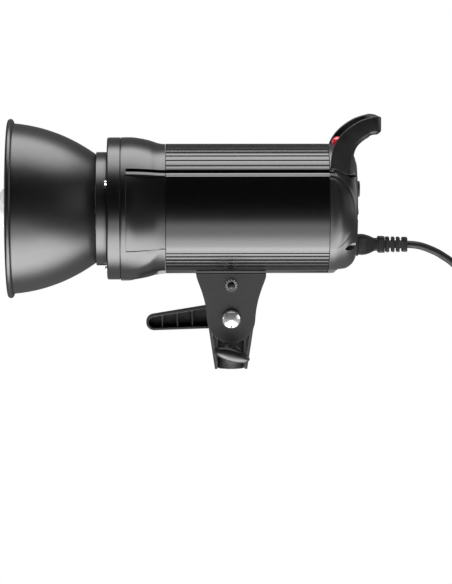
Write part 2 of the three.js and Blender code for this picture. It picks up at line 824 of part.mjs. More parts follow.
function flashTube() {
  const ring = [];
  const radius = 32;
  for (let i = 0; i <= 12; i++) {
    const angle = degrees(-75 + i * (330 / 12));
    ring.push(new THREE.Vector3(-142, radius * Math.sin(angle), AXIS_Z - radius * Math.cos(angle)));
  }
  const leg = (at) => new THREE.Vector3(-112.8, at.y, at.z);
  const bend = (at) => new THREE.Vector3(-137, at.y, at.z);
  const path = [leg(ring[0]), bend(ring[0]), ...ring.slice(1, -1), bend(ring[12]), leg(ring[12])];
  const curve = new THREE.CatmullRomCurve3(path, false, 'centripetal');
  return swept(curve, 4, 32, 8);
}

add('carrier_plate', carrierPlate(), 'aluminium');
add('lamp_socket', lampSocket(), 'ceramic');
add('modelling_lamp_glass', lampGlass(), 'frosted');
add('modelling_lamp_cap', lampCap(), 'aluminium');
add('flash_tube', flashTube(), 'clear');

// ---- inside the tube ----
function capacitor(y) {
  return turned([[-20, 0], [-20, 17], [-19, 17.5], [65, 17.5], [66, 17], [66, 0]], 24, y, 142);
}

const charger = () => box(-46, 72, -44, 44, 186, 187.6);
const transformer = () =>
  box(32, 68, -16, 16, 188, 208).add(rod('x', [0, 199.5], 11, 26, 73, 16));

function fanFrame() {
  return box(76, 92, -32, 32, 128, 192).subtract(rod('x', [0, AXIS_Z], 29, 70, 98, 32))
    .add(rod('x', [0, AXIS_Z], 9, 76, 78, 20))
    .add(box(76, 78, -30, 30, 158.5, 161.5));
}

function fanRotor() {
  let rotor = rod('x', [0, AXIS_Z], 11, 79, 91, 16);
  const blade = new THREE.BoxGeometry(12, 1.6, 17);
  for (let i = 0; i < 7; i++) {
    const placed = blade.clone();
    placed.rotateZ(degrees(35)).translate(0, 0, 18.3);
    placed.rotateX((i / 7) * 2 * Math.PI).translate(85, 0, AXIS_Z);
    rotor = rotor.add(solid(placed));
  }
  return rotor;
}

add('capacitor_near', capacitor(-22), 'sleeve');
add('capacitor_far', capacitor(22), 'sleeve');
add('charger_board', charger(), 'board');
add('transformer', transformer(), 'winding');
add('fan_frame', fanFrame(), 'rubber');
add('fan_rotor', fanRotor(), 'grip');

// ---- tilting bracket ----
function earOutline() {
  const shape = new THREE.Shape();
  shape.moveTo(-34.7, 96.3);
  shape.lineTo(-34.7, 93);
  shape.bezierCurveTo(-32, 84, -25.4, 72, -EAR_RADIUS, PIVOT_Z);
  shape.absarc(0, PIVOT_Z, EAR_RADIUS, Math.PI, 2 * Math.PI, false);
  shape.bezierCurveTo(25.4, 72, 32, 84, 34.7, 93);
  shape.lineTo(34.7, 96.3);
  return shape;
}

function tiltBracket() {
  let bracket = acrossY(earOutline(), -EAR_OUTER_Y, EAR_OUTER_Y, 12)
    .subtract(box(-40, 40, -EAR_INNER_Y, EAR_INNER_Y, 20, 93.3));
  bracket = bracket.subtract(rod('y', [0, PIVOT_Z], BOLT_RADIUS + GAP, -30, 30, 20));
  bracket = bracket.subtract(rod('y', [0, 84], 2.8, -30, 30, 12));
  for (const place of bracketScrewPlaces()) {
    bracket = bracket.subtract(rod('z', place, 2.5, 90, 100, 12));
  }
  return bracket;
}

function bracketScrew([x, y]) {
  return rod('z', [x, y], 2.2, 92, 103, 12).add(rod('z', [x, y], 4, 90.2, 93, 16));
}

function pivotBolt() {
  const rows = [[0, -21.3], [9.2, -21.3], [9, -23], [7.4, -25.2], [4, -26.8], [0, -27.3]];
  const geometry = new THREE.LatheGeometry(rows.map(([radius, y]) => point(radius, y)), 24);
  geometry.translate(0, 0, PIVOT_Z);
  return solid(geometry).add(rod('y', [0, PIVOT_Z], BOLT_RADIUS, -22, 34, 20));
}

function toothedWasher() {
  const teeth = 16;
  const shape = new THREE.Shape();
  for (let i = 0; i < teeth * 2; i++) {
    const radius = i % 2 ? 5 : 6.4;
    const angle = (i / (teeth * 2)) * 2 * Math.PI;
    const at = [radius * Math.cos(angle), 84 + radius * Math.sin(angle)];
    if (i === 0) shape.moveTo(...at);
    else shape.lineTo(...at);
  }
  return acrossY(shape, -22.3, -21.3).subtract(rod('y', [0, 84], 2.8, -30, 0, 12));
}

function crossPin() {
  const head = (side) => {
    const rows = [[0, 22.6], [3.7, 22.6], [3.4, 24.6], [2, 25.8], [0, 26.2]];
    const geometry = new THREE.LatheGeometry(rows.map(([radius, y]) => point(radius, side * y)), 16);
    geometry.translate(0, 0, 84);
    return solid(geometry);
  };
  return head(-1).add(rod('y', [0, 84], 2.4, -23, 23, 12)).add(head(1));
}

const frictionWasher = (side) =>
  rod('y', [0, PIVOT_Z], 15, Math.min(side * 16.7, side * 17.7), Math.max(side * 16.7, side * 17.7), 28)
    .subtract(rod('y', [0, PIVOT_Z], BOLT_RADIUS + 0.4, -30, 30, 20));

add('tilt_bracket', tiltBracket(), 'bracket');
bracketScrewPlaces().forEach((place, i) => {
  add('bracket_screw_' + (i + 1), bracketScrew(place), 'steel');
});
add('pivot_bolt', pivotBolt(), 'chrome');
add('toothed_washer', toothedWasher(), 'steel');
add('cross_pin', crossPin(), 'rubber');
add('friction_washer_near', frictionWasher(-1), 'steel');
add('friction_washer_far', frictionWasher(1), 'steel');

// ---- tilt lever ----
const LEVER_TIP = [-76.8, 43.5];
const LEVER_FROM_Y = 21.6;
const LEVER_TO_Y = 35;

// The outline round two circles, in (X, Z): the hub on the pivot and the lever's tip.
function leverOutline(hub, tip) {
  const shape = new THREE.Shape();
  const [dx, dz] = [LEVER_TIP[0], LEVER_TIP[1] - PIVOT_Z];
  const along = Math.atan2(dz, dx);
  const spread = Math.acos((hub - tip) / Math.hypot(dx, dz));
  shape.absarc(0, PIVOT_Z, hub, along + spread, along - spread + 2 * Math.PI, false);
  shape.absarc(...LEVER_TIP, tip, along - spread + 2 * Math.PI, along + spread + 2 * Math.PI, false);
  return shape;
}

function tiltLever() {
  const wall = 2.5;
  let lever = acrossY(leverOutline(13, 8), LEVER_FROM_Y, LEVER_TO_Y, 10);
  const pocket = acrossY(leverOutline(13 - wall, 8 - wall), LEVER_FROM_Y - 1, LEVER_TO_Y - wall, 8)
    .subtract(rod('y', [0, PIVOT_Z], 14, 0, 60, 24));
  lever = lever.subtract(pocket);
  for (const x of [-68.5, -53.3, -38.2]) {
    const rib = box(x - 0.8, x + 0.8, LEVER_FROM_Y + 1, LEVER_TO_Y - 1, 20, 70);
    const inside = acrossY(leverOutline(12.5, 7.5), LEVER_FROM_Y, LEVER_TO_Y, 8);
    lever = lever.add(rib.intersect(inside));
  }
  lever = lever.subtract(rod('y', [0, PIVOT_Z], BOLT_RADIUS + GAP, 0, 60, 20));
  return lever.subtract(rod('y', [0, PIVOT_Z], 9, 29, 60, 6));
}

function leverNut() {
  const nut = rod('y', [0, PIVOT_Z], 8.6, 29.4, 34.2, 6);
  return nut.subtract(rod('y', [0, PIVOT_Z], BOLT_RADIUS + GAP, 0, 60, 20));
}

add('tilt_lever', tiltLever(), 'grip');
add('lever_nut', leverNut(), 'steel');

// ---- stand socket ----
// The tapered outline of the socket in (X, Z), pulled in by an inset.
function socketOutline(inset, z0, z1) {
  const half = (z) => 16.2 + (KNUCKLE_RADIUS - 16.2) * (z / 44) - inset;
  return new THREE.Shape([
    point(-half(z0), z0),
    point(half(z0), z0),
    point(half(z1), z1),
    point(-half(z1), z1),
  ]);
}

function standSocket() {
  const tapered = acrossY(socketOutline(0, 0, 47), -13, 13);
  const knuckle = rod('y', [0, PIVOT_Z], KNUCKLE_RADIUS, -KNUCKLE_HALF, KNUCKLE_HALF, 40);
  const pocket = socketOutline(2.6, -1, 60);
  let socket = tapered;
  for (const side of [-1, 1]) {
    const [from, to] = side < 0 ? [-20, -3] : [3, 20];
    socket = socket.subtract(acrossY(pocket, from, to));
  }
  socket = socket.add(knuckle);
  socket = socket.add(rod('z', [0, 0], STAND_TUBE_RADIUS, 0, 40, 28));
  socket = socket.add(rod('y', [0, LOCK_Z], 9.6, -19, 0, 24));
  socket = socket.subtract(rod('z', [0, 0], SPIGOT_HOLE_RADIUS, -1, 34, 28));
  socket = socket.subtract(rod('y', [0, LOCK_Z], 3.4, -30, 0, 16));
  return socket.subtract(rod('y', [0, PIVOT_Z], BOLT_RADIUS + 0.4, -30, 30, 24));
}

// The wing of the lock knob: an oval pad, domed on its outer face and turned a little.
function lockKnob() {
  const wing = new THREE.SphereGeometry(1, 20, 10).scale(17.6, 5.5, 7);
  wing.rotateY(degrees(16)).translate(0, -38, LOCK_Z);
  return solid(wing)
    .add(rod('y', [0, LOCK_Z], 6.2, -38, -24.5, 20))
    .subtract(rod('y', [0, LOCK_Z], 3.3, -34, -20, 16));
}

const lockScrew = () => rod('y', [0, LOCK_Z], 3, -31.5, -8.6, 16);

add('stand_socket', standSocket(), 'bracket');
add('lock_knob', lockKnob(), 'grip');
add('lock_screw', lockScrew(), 'steel');

export default group;
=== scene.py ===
"""Looks of the monolight strobe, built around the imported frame. Lengths are millimetres
until a mesh is made; the lamp axis runs along X at height AXIS_Z."""
import json
import math

import bmesh
import bpy
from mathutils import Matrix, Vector


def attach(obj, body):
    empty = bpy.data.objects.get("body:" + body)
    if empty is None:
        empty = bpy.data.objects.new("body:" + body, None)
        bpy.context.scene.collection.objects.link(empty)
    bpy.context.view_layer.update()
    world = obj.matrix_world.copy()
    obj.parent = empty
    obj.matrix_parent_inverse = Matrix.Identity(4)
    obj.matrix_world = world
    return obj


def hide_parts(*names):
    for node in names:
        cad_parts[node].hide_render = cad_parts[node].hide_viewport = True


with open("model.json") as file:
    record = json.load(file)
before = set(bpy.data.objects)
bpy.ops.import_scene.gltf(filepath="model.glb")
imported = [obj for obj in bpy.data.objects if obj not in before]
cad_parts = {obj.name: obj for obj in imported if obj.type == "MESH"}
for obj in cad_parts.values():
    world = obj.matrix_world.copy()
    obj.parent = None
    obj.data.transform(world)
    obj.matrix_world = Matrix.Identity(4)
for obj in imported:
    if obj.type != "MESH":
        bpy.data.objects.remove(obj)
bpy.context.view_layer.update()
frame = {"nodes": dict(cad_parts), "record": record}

MM = 0.001
TAU = 2 * math.pi
AXIS_Z = 160.0
PIVOT_Z, PIN_Z, KNOB_Z = 51, 84, 17
TUBE_FRONT_X, TUBE_BACK_X, SHELL_FRONT_X = -65.3, 96.2, 96.5
TUBE_RADIUS = 64.5
SENSOR_X = 106.5
DIAL_Y, DIAL_Z = -18, 180.3
JACK_Y, FUSE_Y, SOCKETS_Z = -18, 18, 155
HEAD = "head"
REFLECTOR = "reflector_body"
LEAD = "mains_lead_body"


# ---------------------------------------------------------------- materials
class Nodes:
    """Builds one procedural material, node by node."""

    def __init__(self, name):
        self.material = bpy.data.materials.new(name)
        self.material.use_nodes = True
        self.tree = self.material.node_tree
        self.tree.nodes.clear()
        self.output = self.add("ShaderNodeOutputMaterial")
        self.coordinates = self.add("ShaderNodeTexCoord")

    def add(self, kind, **settings):
        node = self.tree.nodes.new(kind)
        for key, value in settings.items():
            setattr(node, key, value)
        return node

    def link(self, source, target):
        self.tree.links.new(source, target)

    def noise(self, scale, detail=3.0, rough=0.5, stretch=(1, 1, 1)):
        """Noise over the piece's own coordinates; scale is in cycles per metre."""
        mapping = self.add("ShaderNodeMapping")
        mapping.inputs["Scale"].default_value = stretch
        self.link(self.coordinates.outputs["Object"], mapping.inputs["Vector"])
        node = self.add("ShaderNodeTexNoise")
        node.inputs["Scale"].default_value = scale
        node.inputs["Detail"].default_value = detail
        node.inputs["Roughness"].default_value = rough
        self.link(mapping.outputs["Vector"], node.inputs["Vector"])
        return node.outputs["Fac"]

    def span(self, value, low, high, from_low=0.3, from_high=0.7):
        node = self.add("ShaderNodeMapRange")
        node.inputs["From Min"].default_value = from_low
        node.inputs["From Max"].default_value = from_high
        node.inputs["To Min"].default_value = low
        node.inputs["To Max"].default_value = high
        self.link(value, node.inputs["Value"])
        return node.outputs["Result"]

    def mix(self, factor, first, second):
        node = self.add("ShaderNodeMix", data_type="RGBA")
        for index, value in ((0, factor), (6, first), (7, second)):
            socket = node.inputs[index]
            if isinstance(value, (int, float, tuple)):
                socket.default_value = value
            else:
                self.link(value, socket)
        return node.outputs[2]

    def bump(self, height, distance, strength=1.0):
        node = self.add("ShaderNodeBump")
        node.inputs["Distance"].default_value = distance
        node.inputs["Strength"].default_value = strength
        self.link(height, node.inputs["Height"])
        return node.outputs["Normal"]

    def edges(self, radius):
        """1 within a radius of sharp edges, and 0 elsewhere."""
        bevel = self.add("ShaderNodeBevel", samples=4)
        bevel.inputs["Radius"].default_value = radius
        geometry = self.add("ShaderNodeNewGeometry")
        dot = self.add("ShaderNodeVectorMath", operation="DOT_PRODUCT")
        self.link(bevel.outputs["Normal"], dot.inputs[0])
        self.link(geometry.outputs["Normal"], dot.inputs[1])
        return self.span(dot.outputs["Value"], 1.0, 0.0, 0.8, 0.98)


def rgb(value):
    if isinstance(value, (int, float)):
        value = (value, value, value)
    return (*value, 1.0)


def surface(
    name,
    color,
    roughness,
    metallic=0.0,
    mottle=0.12,
    grain=900.0,
    grain_depth=0.00003,
    roughness_spread=0.06,
    wear_and_edge_highlight=None,
    stretch=(1, 1, 1),
    **inputs,
):
    """A principled surface with mottled colour, uneven roughness, fine grain and lightened edges.

    Its edge tuple gives the lighter colour, how far it reaches from an edge in metres, and its greatest
    cover; these lighter edges are partly worn paint and partly a painted edge highlight."""
    n = Nodes(name)
    shader = n.add("ShaderNodeBsdfPrincipled")
    base = rgb(color)
    dark = tuple(c * (1 - mottle) for c in base[:3]) + (1.0,)
    light = tuple(min(1.0, c * (1 + mottle)) for c in base[:3]) + (1.0,)
    coarse = n.noise(55, 4)
    tint = n.mix(n.span(coarse, 0.0, 1.0), dark, light)
    # Sharp edges are lightened towards a paler colour: partly rubbed wear, partly a painted highlight
    # where light catches the creases and edge lines.
    if wear_and_edge_highlight:
        worn_and_highlight_color, radius, amount = wear_and_edge_highlight
        patchy = n.span(n.noise(350, 3), 0.2, amount)
        edge = n.add("ShaderNodeMath", operation="MULTIPLY")
        n.link(n.edges(radius), edge.inputs[0])
        n.link(patchy, edge.inputs[1])
        tint = n.mix(edge.outputs[0], tint, rgb(worn_and_highlight_color))
    n.link(tint, shader.inputs["Base Color"])
    smudge = n.noise(140, 3, 0.6)
    low, high = max(0.02, roughness - roughness_spread), roughness + roughness_spread
    n.link(n.span(smudge, low, high), shader.inputs["Roughness"])
    shader.inputs["Metallic"].default_value = metallic
    n.link(n.bump(n.noise(grain, 2, 0.6, stretch), grain_depth), shader.inputs["Normal"])
    for key, value in inputs.items():
        shader.inputs[key.replace("_", " ")].default_value = value
    n.link(shader.outputs[0], n.output.inputs["Surface"])
    return n.material


def display_glass():
    n = Nodes("display_glass")
    shader = n.add("ShaderNodeBsdfPrincipled")
    deep, pale = rgb((0.006, 0.008, 0.01)), rgb((0.012, 0.016, 0.02))
    n.link(n.mix(n.span(n.noise(90, 2), 0, 1), deep, pale), shader.inputs["Base Color"])
    n.link(n.span(n.noise(200, 3), 0.04, 0.12), shader.inputs["Roughness"])
    shader.inputs["Coat Weight"].default_value = 1.0
    n.link(n.bump(n.noise(400, 2), 0.000004), shader.inputs["Normal"])
    n.link(shader.outputs[0], n.output.inputs["Surface"])
    return n.material


def translucent(name, color, roughness, transmission, subsurface=0.0):
    n = Nodes(name)
    shader = n.add("ShaderNodeBsdfPrincipled")
    base = rgb(color)
    deep = tuple(c * 0.75 for c in base[:3]) + (1.0,)
    n.link(n.mix(n.span(n.noise(120, 3), 0, 1), deep, base), shader.inputs["Base Color"])
    n.link(n.span(n.noise(260, 2), roughness * 0.8, roughness * 1.25), shader.inputs["Roughness"])
    shader.inputs["Transmission Weight"].default_value = transmission
    shader.inputs["Subsurface Weight"].default_value = subsurface
    shader.inputs["Subsurface Radius"].default_value = (0.004, 0.004, 0.004)
    n.link(n.bump(n.noise(600, 2), 0.000004), shader.inputs["Normal"])
    n.link(shader.outputs[0], n.output.inputs["Surface"])
    return n.material


def spun_silver():
    """The bowl's inside: bright metal with a fine hammered grain."""
    n = Nodes("spun_silver")
    shader = n.add("ShaderNodeBsdfPrincipled")
    n.link(n.mix(n.span(n.noise(40, 3), 0, 1), rgb(0.62), rgb(0.78)), shader.inputs["Base Color"])
    n.link(n.span(n.noise(160, 3), 0.26, 0.38), shader.inputs["Roughness"])
    shader.inputs["Metallic"].default_value = 1.0
    cells = n.add("ShaderNodeTexVoronoi", feature="SMOOTH_F1")
    cells.inputs["Scale"].default_value = 420
    n.link(n.coordinates.outputs["Object"], cells.inputs["Vector"])
    n.link(n.bump(cells.outputs["Distance"], 0.0004, 0.6), shader.inputs["Normal"])
    n.link(shader.outputs[0], n.output.inputs["Surface"])
    return n.material


# The edge tuples below lighten sharp edges: partly rubbed wear, partly painted edge highlights where
# light catches the creases.
M = {
    "housing": surface(
        "housing_plastic", 0.0015, 0.27, mottle=0.1, grain=1500, grain_depth=0.0000006,
        roughness_spread=0.003, wear_and_edge_highlight=(0.07, 0.0006, 0.35),
    ),
    "bell": surface(
        "bell_plastic", 0.0015, 0.27, mottle=0.1, grain=1500, grain_depth=0.0000004,
        roughness_spread=0.003,
    ),
    "shell": surface(
        "shell_plastic", 0.008, 0.3, mottle=0.1, grain=1500, grain_depth=0.0000012,
        roughness_spread=0.02, wear_and_edge_highlight=(0.07, 0.0006, 0.35),
    ),
    "extrusion": surface(
        "tube_lacquer", 0.001, 0.22, mottle=0.1, grain=1400, grain_depth=0.0000008,
        roughness_spread=0.015, wear_and_edge_highlight=(0.08, 0.0004, 0.3),
    ),
    "bowl": surface(
        "bowl_paint", 0.003, 0.32, mottle=0.1, grain=2200, grain_depth=0.000002, roughness_spread=0.02,
        wear_and_edge_highlight=(0.1, 0.0006, 0.3),
    ),
    "silver": spun_silver(),
    "bracket": surface(
        "bracket_paint", 0.012, 0.62, mottle=0.1, grain=2600, grain_depth=0.00005,
        wear_and_edge_highlight=(0.2, 0.0006, 0.6), Specular_IOR_Level=0.33,
    ),
    "grip": surface(
        "grip_plastic", 0.009, 0.5, mottle=0.14, grain=2400, grain_depth=0.00004,
        wear_and_edge_highlight=(0.1, 0.0007, 0.5), Specular_IOR_Level=0.28,
    ),
    "handle": surface(
        "handle_plastic", 0.003, 0.42, mottle=0.14, grain=2400, grain_depth=0.00003,
        wear_and_edge_highlight=(0.2, 0.0008, 0.8), Specular_IOR_Level=0.3,
    ),
    "knob": surface(
        "knob_plastic", 0.004, 0.32, mottle=0.14, grain=2400, grain_depth=0.00001,
        wear_and_edge_highlight=(0.16, 0.0006, 0.7),
    ),
    "socket": surface(
        "socket_paint", 0.006, 0.5, mottle=0.12, grain=2600, grain_depth=0.00003,
        wear_and_edge_highlight=(0.2, 0.0008, 0.9),
    ),
    "rubber": surface(
        "lead_rubber", 0.006, 0.52, mottle=0.14, grain=1800, grain_depth=0.00003,
        wear_and_edge_highlight=(0.12, 0.0005, 0.6), Specular_IOR_Level=0.22,
    ),
    "chrome": surface(
        "bolt_chrome", 0.9, 0.13, 0.85, mottle=0.05, grain=500, grain_depth=0.00002,
        roughness_spread=0.08,
    ),
    "steel": surface(
        "zinc_steel", (0.5, 0.5, 0.48), 0.32, 1.0, mottle=0.12, grain=1500, grain_depth=0.00001,
        stretch=(1, 0.2, 1),
    ),
    "pin": surface(
        "pin_cap_rubber", 0.01, 0.4, mottle=0.14, grain=1800, grain_depth=0.00001,
        Specular_IOR_Level=0.3,
    ),
    "black_steel": surface(
        "blackened_steel", 0.2, 0.3, 0.8, mottle=0.2, grain=1600, grain_depth=0.00001,
        wear_and_edge_highlight=(0.6, 0.0004, 0.9),
    ),
    "aluminium": surface(
        "satin_aluminium", 0.72, 0.3, 1.0, mottle=0.05, grain=1200, grain_depth=0.00001,
        stretch=(1, 0.1, 1),
    ),
    "ceramic": surface(
        "holder_ceramic", (0.78, 0.75, 0.68), 0.38, mottle=0.05, grain=1500, grain_depth=0.00002,
    ),
    "board": surface(
        "board_lacquer", (0.015, 0.11, 0.05), 0.35, mottle=0.25, grain=700, grain_depth=0.00002,
    ),
    "sleeve": surface(
        "capacitor_sleeve", (0.015, 0.03, 0.08), 0.35, mottle=0.1, grain=900, grain_depth=0.00001,
    ),
    "winding": surface(
        "coil_winding", (0.35, 0.13, 0.04), 0.4, 0.7, mottle=0.2, grain=2600, grain_depth=0.00006,
        stretch=(1, 0.05, 0.05),
    ),
    "print": surface("panel_print", 0.62, 0.5, mottle=0.06, grain=2400, grain_depth=0.00001),
    "red": translucent("slave_dome_red", (0.92, 0.02, 0.05), 0.06, 0.3, 0.3),
    "red_button": surface(
        "red_button", (0.45, 0.02, 0.02), 0.35, mottle=0.1, grain=1500, grain_depth=0.00002,
    ),
    "frosted": translucent("frosted_bulb", (0.93, 0.92, 0.9), 0.42, 0.12, 0.35),
    "clear": translucent("flash_tube_glass", (0.93, 0.96, 0.97), 0.04, 0.9),
    "display": display_glass(),
}


# ---------------------------------------------------------------- mesh building
def piece(
    name, vertices, faces, materials, body, replaces=(), face_material=None, sharp=32, bevel=None
):
    """Makes a piece from millimetre vertices, and rides it on a body."""
    mesh = bpy.data.meshes.new(name)
    mesh.from_pydata([Vector(v) * MM for v in vertices], [], faces)
    materials = [materials] if isinstance(materials, str) else materials
    for key in materials:
        mesh.materials.append(M[key])
    if face_material:
        for polygon, index in zip(mesh.polygons, face_material):
            polygon.material_index = index
    bm = bmesh.new()
    bm.from_mesh(mesh)
    bmesh.ops.remove_doubles(bm, verts=bm.verts, dist=1e-7)
    bmesh.ops.recalc_face_normals(bm, faces=bm.faces)
    bm.to_mesh(mesh)
    bm.free()
    return finish_piece(name, mesh, body, replaces, sharp, bevel)


def finish_piece(name, mesh, body, replaces, sharp, bevel):
    """Shades a mesh, rounds its edges by bevel (width, segments), and gives it to a body."""
    mesh.shade_smooth()
    mesh.set_sharp_from_angle(angle=math.radians(sharp))
    obj = bpy.data.objects.new(name, mesh)
    bpy.context.scene.collection.objects.link(obj)
    if bevel:
        width, segments = bevel
        modifier = obj.modifiers.new("Bevel", "BEVEL")
        modifier.width = width * MM
        modifier.segments = segments
        modifier.limit_method = "ANGLE"
        modifier.angle_limit = math.radians(38)
        modifier.harden_normals = False
    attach(obj, body)
    if replaces:
        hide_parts(*([replaces] if isinstance(replaces, str) else replaces))
    return obj


def body_of_node(node):
    bodies = frame["record"]["behaviour"]["bodies"]
    return next(body for body, nodes in bodies.items() if node in nodes)


def from_node(node, material, bevel):
    """A cleaned copy of a CAD node: welded, flat faces merged, edges rounded."""
    mesh = frame["nodes"][node].data.copy()
    mesh.materials.clear()
    mesh.materials.append(M[material])
    bm = bmesh.new()
    bm.from_mesh(mesh)
    bmesh.ops.remove_doubles(bm, verts=bm.verts, dist=2e-6)
    bmesh.ops.dissolve_limit(
        bm,
        angle_limit=math.radians(1.0),
        verts=bm.verts,
        edges=bm.edges,
        use_dissolve_boundaries=False,
    )
    for face in bm.faces:
        face.material_index = 0
    bm.to_mesh(mesh)
    bm.free()
    return finish_piece(node + "_piece", mesh, body_of_node(node), node, 32, bevel)


def rounded(corners, closed=True, steps=4):
    """A polyline through (x, y, radius) corners, each rounded by its radius."""
    points = []
    count = len(corners)
    for i, (x, y, radius) in enumerate(corners):
        here = Vector((x, y))
        if radius <= 0 or (not closed and i in (0, count - 1)):
            points.append((x, y))
            continue
        before = Vector(corners[i - 1][:2]) - here
        after = Vector(corners[(i + 1) % count][:2]) - here
        reach = min(radius, before.length * 0.49, after.length * 0.49)
        start = here + before.normalized() * reach
        end = here + after.normalized() * reach
        for k in range(steps + 1):
            t = k / steps
            p = (1 - t) ** 2 * start + 2 * t * (1 - t) * here + t * t * end
            points.append((p.x, p.y))
    return points


def spline(points, steps):
    """Catmull-Rom points through the given ones, ends included."""
    padded = [tuple(2 * a - b for a, b in zip(points[0], points[1]))] + list(points)
    padded.append(tuple(2 * a - b for a, b in zip(points[-1], points[-2])))
    result = []
    for i in range(1, len(padded) - 2):
        p0, p1, p2, p3 = (Vector(p) for p in padded[i - 1 : i + 3])
        for k in range(steps):
            t = k / steps
            bend = (2 * p0 - 5 * p1 + 4 * p2 - p3) * t * t
            value = 0.5 * (2 * p1 + (p2 - p0) * t + bend + (3 * p1 - p0 - 3 * p2 + p3) * t**3)
            result.append(tuple(value))
    result.append(tuple(points[-1]))
    return result


def bezier(p0, p1, p2, steps):
    """Points of a quadratic curve, ends included."""
    result = []
    for k in range(steps + 1):
        t = k / steps
        weights = ((1 - t) ** 2, 2 * t * (1 - t), t * t)
        result.append(tuple(sum(w * c for w, c in zip(weights, cs)) for cs in zip(p0, p1, p2)))
    return result


def place_x(x, radius, angle, y=0.0, z=AXIS_Z):
    """A point on a circle about a line along X; angle 0 is up, and grows towards +Y."""
    return (x, y + radius * math.sin(angle), z + radius * math.cos(angle))


def place_y(y, radius, angle, x=0.0, z=0.0):
    return (x + radius * math.sin(angle), y, z + radius * math.cos(angle))


def place_z(z, radius, angle, x=0.0, y=0.0):
    return (x + radius * math.cos(angle), y + radius * math.sin(angle), z)


def lathe(profile, segments, place=place_x, **centre):
    """Vertices and faces of a profile of (along, radius) turned about a line.

    A profile whose ends are both on the line is closed there; any other is a closed loop."""
    vertices, rings = [], []
    for along, radius in profile:
        if abs(radius) < 1e-6:
            rings.append([len(vertices)] * segments)
            vertices.append(place(along, 0, 0, **centre))
        else:
            rings.append(list(range(len(vertices), len(vertices) + segments)))
            vertices += [place(along, radius, TAU * i / segments, **centre) for i in range(segments)]
    faces = []
    open_ended = abs(profile[0][1]) < 1e-6 and abs(profile[-1][1]) < 1e-6
    pairs = list(zip(rings, rings[1:])) + ([] if open_ended else [(rings[-1], rings[0])])
    for first, second in pairs:
        for i in range(segments):
            j = (i + 1) % segments
            face = []
            for index in (first[i], first[j], second[j], second[i]):
                if index not in face:
                    face.append(index)
            if len(face) > 2:
                faces.append(face)
    return vertices, faces


def turned(
    name, profile, material, body, replaces=(), segments=96, sharp=32, place=place_x, **centre
):
    vertices, faces = lathe(profile, segments, place, **centre)
    return piece(name, vertices, faces, material, body, replaces, sharp=sharp)


def loft(rings, closed_path=False):
    """Vertices and faces through rings of equal point counts, capped at both ends."""
    size = len(rings[0])
    vertices = [p for ring in rings for p in ring]
    faces = []
    count = len(rings)
    for a in range(count if closed_path else count - 1):
        b = (a + 1) % count
        for i in range(size):
            j = (i + 1) % size
            faces.append((a * size + i, a * size + j, b * size + j, b * size + i))
    if not closed_path:
        faces.append(tuple(range(size)))
        faces.append(tuple(range((count - 1) * size, count * size)))
    return vertices, faces


def merge(parts):
    """Joins (vertices, faces) lists into one."""
    vertices, faces = [], []
    for some_vertices, some_faces in parts:
        start = len(vertices)
        vertices += list(some_vertices)
        faces += [tuple(i + start for i in face) for face in some_faces]
    return vertices, faces


def prism_x(outline, x0, x1):
    """A (y, z) outline as a bar from x0 to x1."""
    return loft([[(x0, y, z) for y, z in outline], [(x1, y, z) for y, z in outline]])


def box_parts(x0, x1, y0, y1, z0, z1):
    return prism_x([(y0, z0), (y1, z0), (y1, z1), (y0, z1)], x0, x1)


def rounded_rectangle(half_width, half_height, radius, y=0.0, z=0.0, steps=5):
    signs = [(-1, -1), (1, -1), (1, 1), (-1, 1)]
    corners = [(y + sy * half_width, z + sz * half_height, radius) for sy, sz in signs]
    return rounded(corners, steps=steps)


def circle(centre, first, second, radius, count):
    """Points of a circle spanned by two unit directions."""
    turns = [TAU * k / count for k in range(count)]
    return [
        tuple(centre + first * radius * math.cos(turn) + second * radius * math.sin(turn))
        for turn in turns
    ]


def swept(path, normal, radius, count):
    """A round bar along a path of vectors, carried from its first normal without twist."""
    rings = []
    for i, here in enumerate(path):
        tangent = (path[min(len(path) - 1, i + 1)] - path[max(0, i - 1)]).normalized()
        normal = (normal - tangent * normal.dot(tangent)).normalized()
        rings.append(circle(here, normal, tangent.cross(normal), radius, count))
    return loft(rings)


# ---------------------------------------------------------------- reflector
def reflector_bowl():
    outer = bezier((-134.6, 54.3), (-172.0, 81), (-215.6, 84.9), 30)
    rim_x, rim_radius, roll = -219.3, 86.4, 3.0
    curl = []
    for k in range(25):
        angle = math.radians(-32 + k * (268 / 24))
        curl.append((rim_x + roll * math.cos(angle), rim_radius + roll * math.sin(angle)))
    inner = bezier((-216.9, 83.35), (-172.8, 79.4), (-136.1, 52.8), 30)
    profile = outer + curl + inner + [(-136.1, 46.6), (-134.6, 46.6)]
    segments = 180
    vertices, faces = lathe(profile, segments)
    # The silver runs from the curl's last quarter down the inside to the throat.
    bright = set(range(len(outer) + 20, len(profile) - 2))
    index = [1 if ring in bright else 0 for ring in range(len(profile)) for _ in range(segments)]
    materials = ["bowl", "silver"]
    piece("reflector_bowl_spun", vertices, faces, materials, REFLECTOR, "reflector_bowl", index)


def collar_pad(angle_from, angle_to):
    """A raised cam pad on the collar, between two angles measured from the top."""
    rings = []
    angles = [angle_from + (angle_to - angle_from) * k / 12 for k in range(13)]
    for x, radius in ((-134.1, 56.25), (-133.7, 56.75), (-124.4, 56.75), (-124.0, 56.25)):
        ring = [place_x(x, radius, angle) for angle in angles]
        ring += [place_x(x, 55.6, angle) for angle in reversed(angles)]
        rings.append(ring)
    return loft(rings)


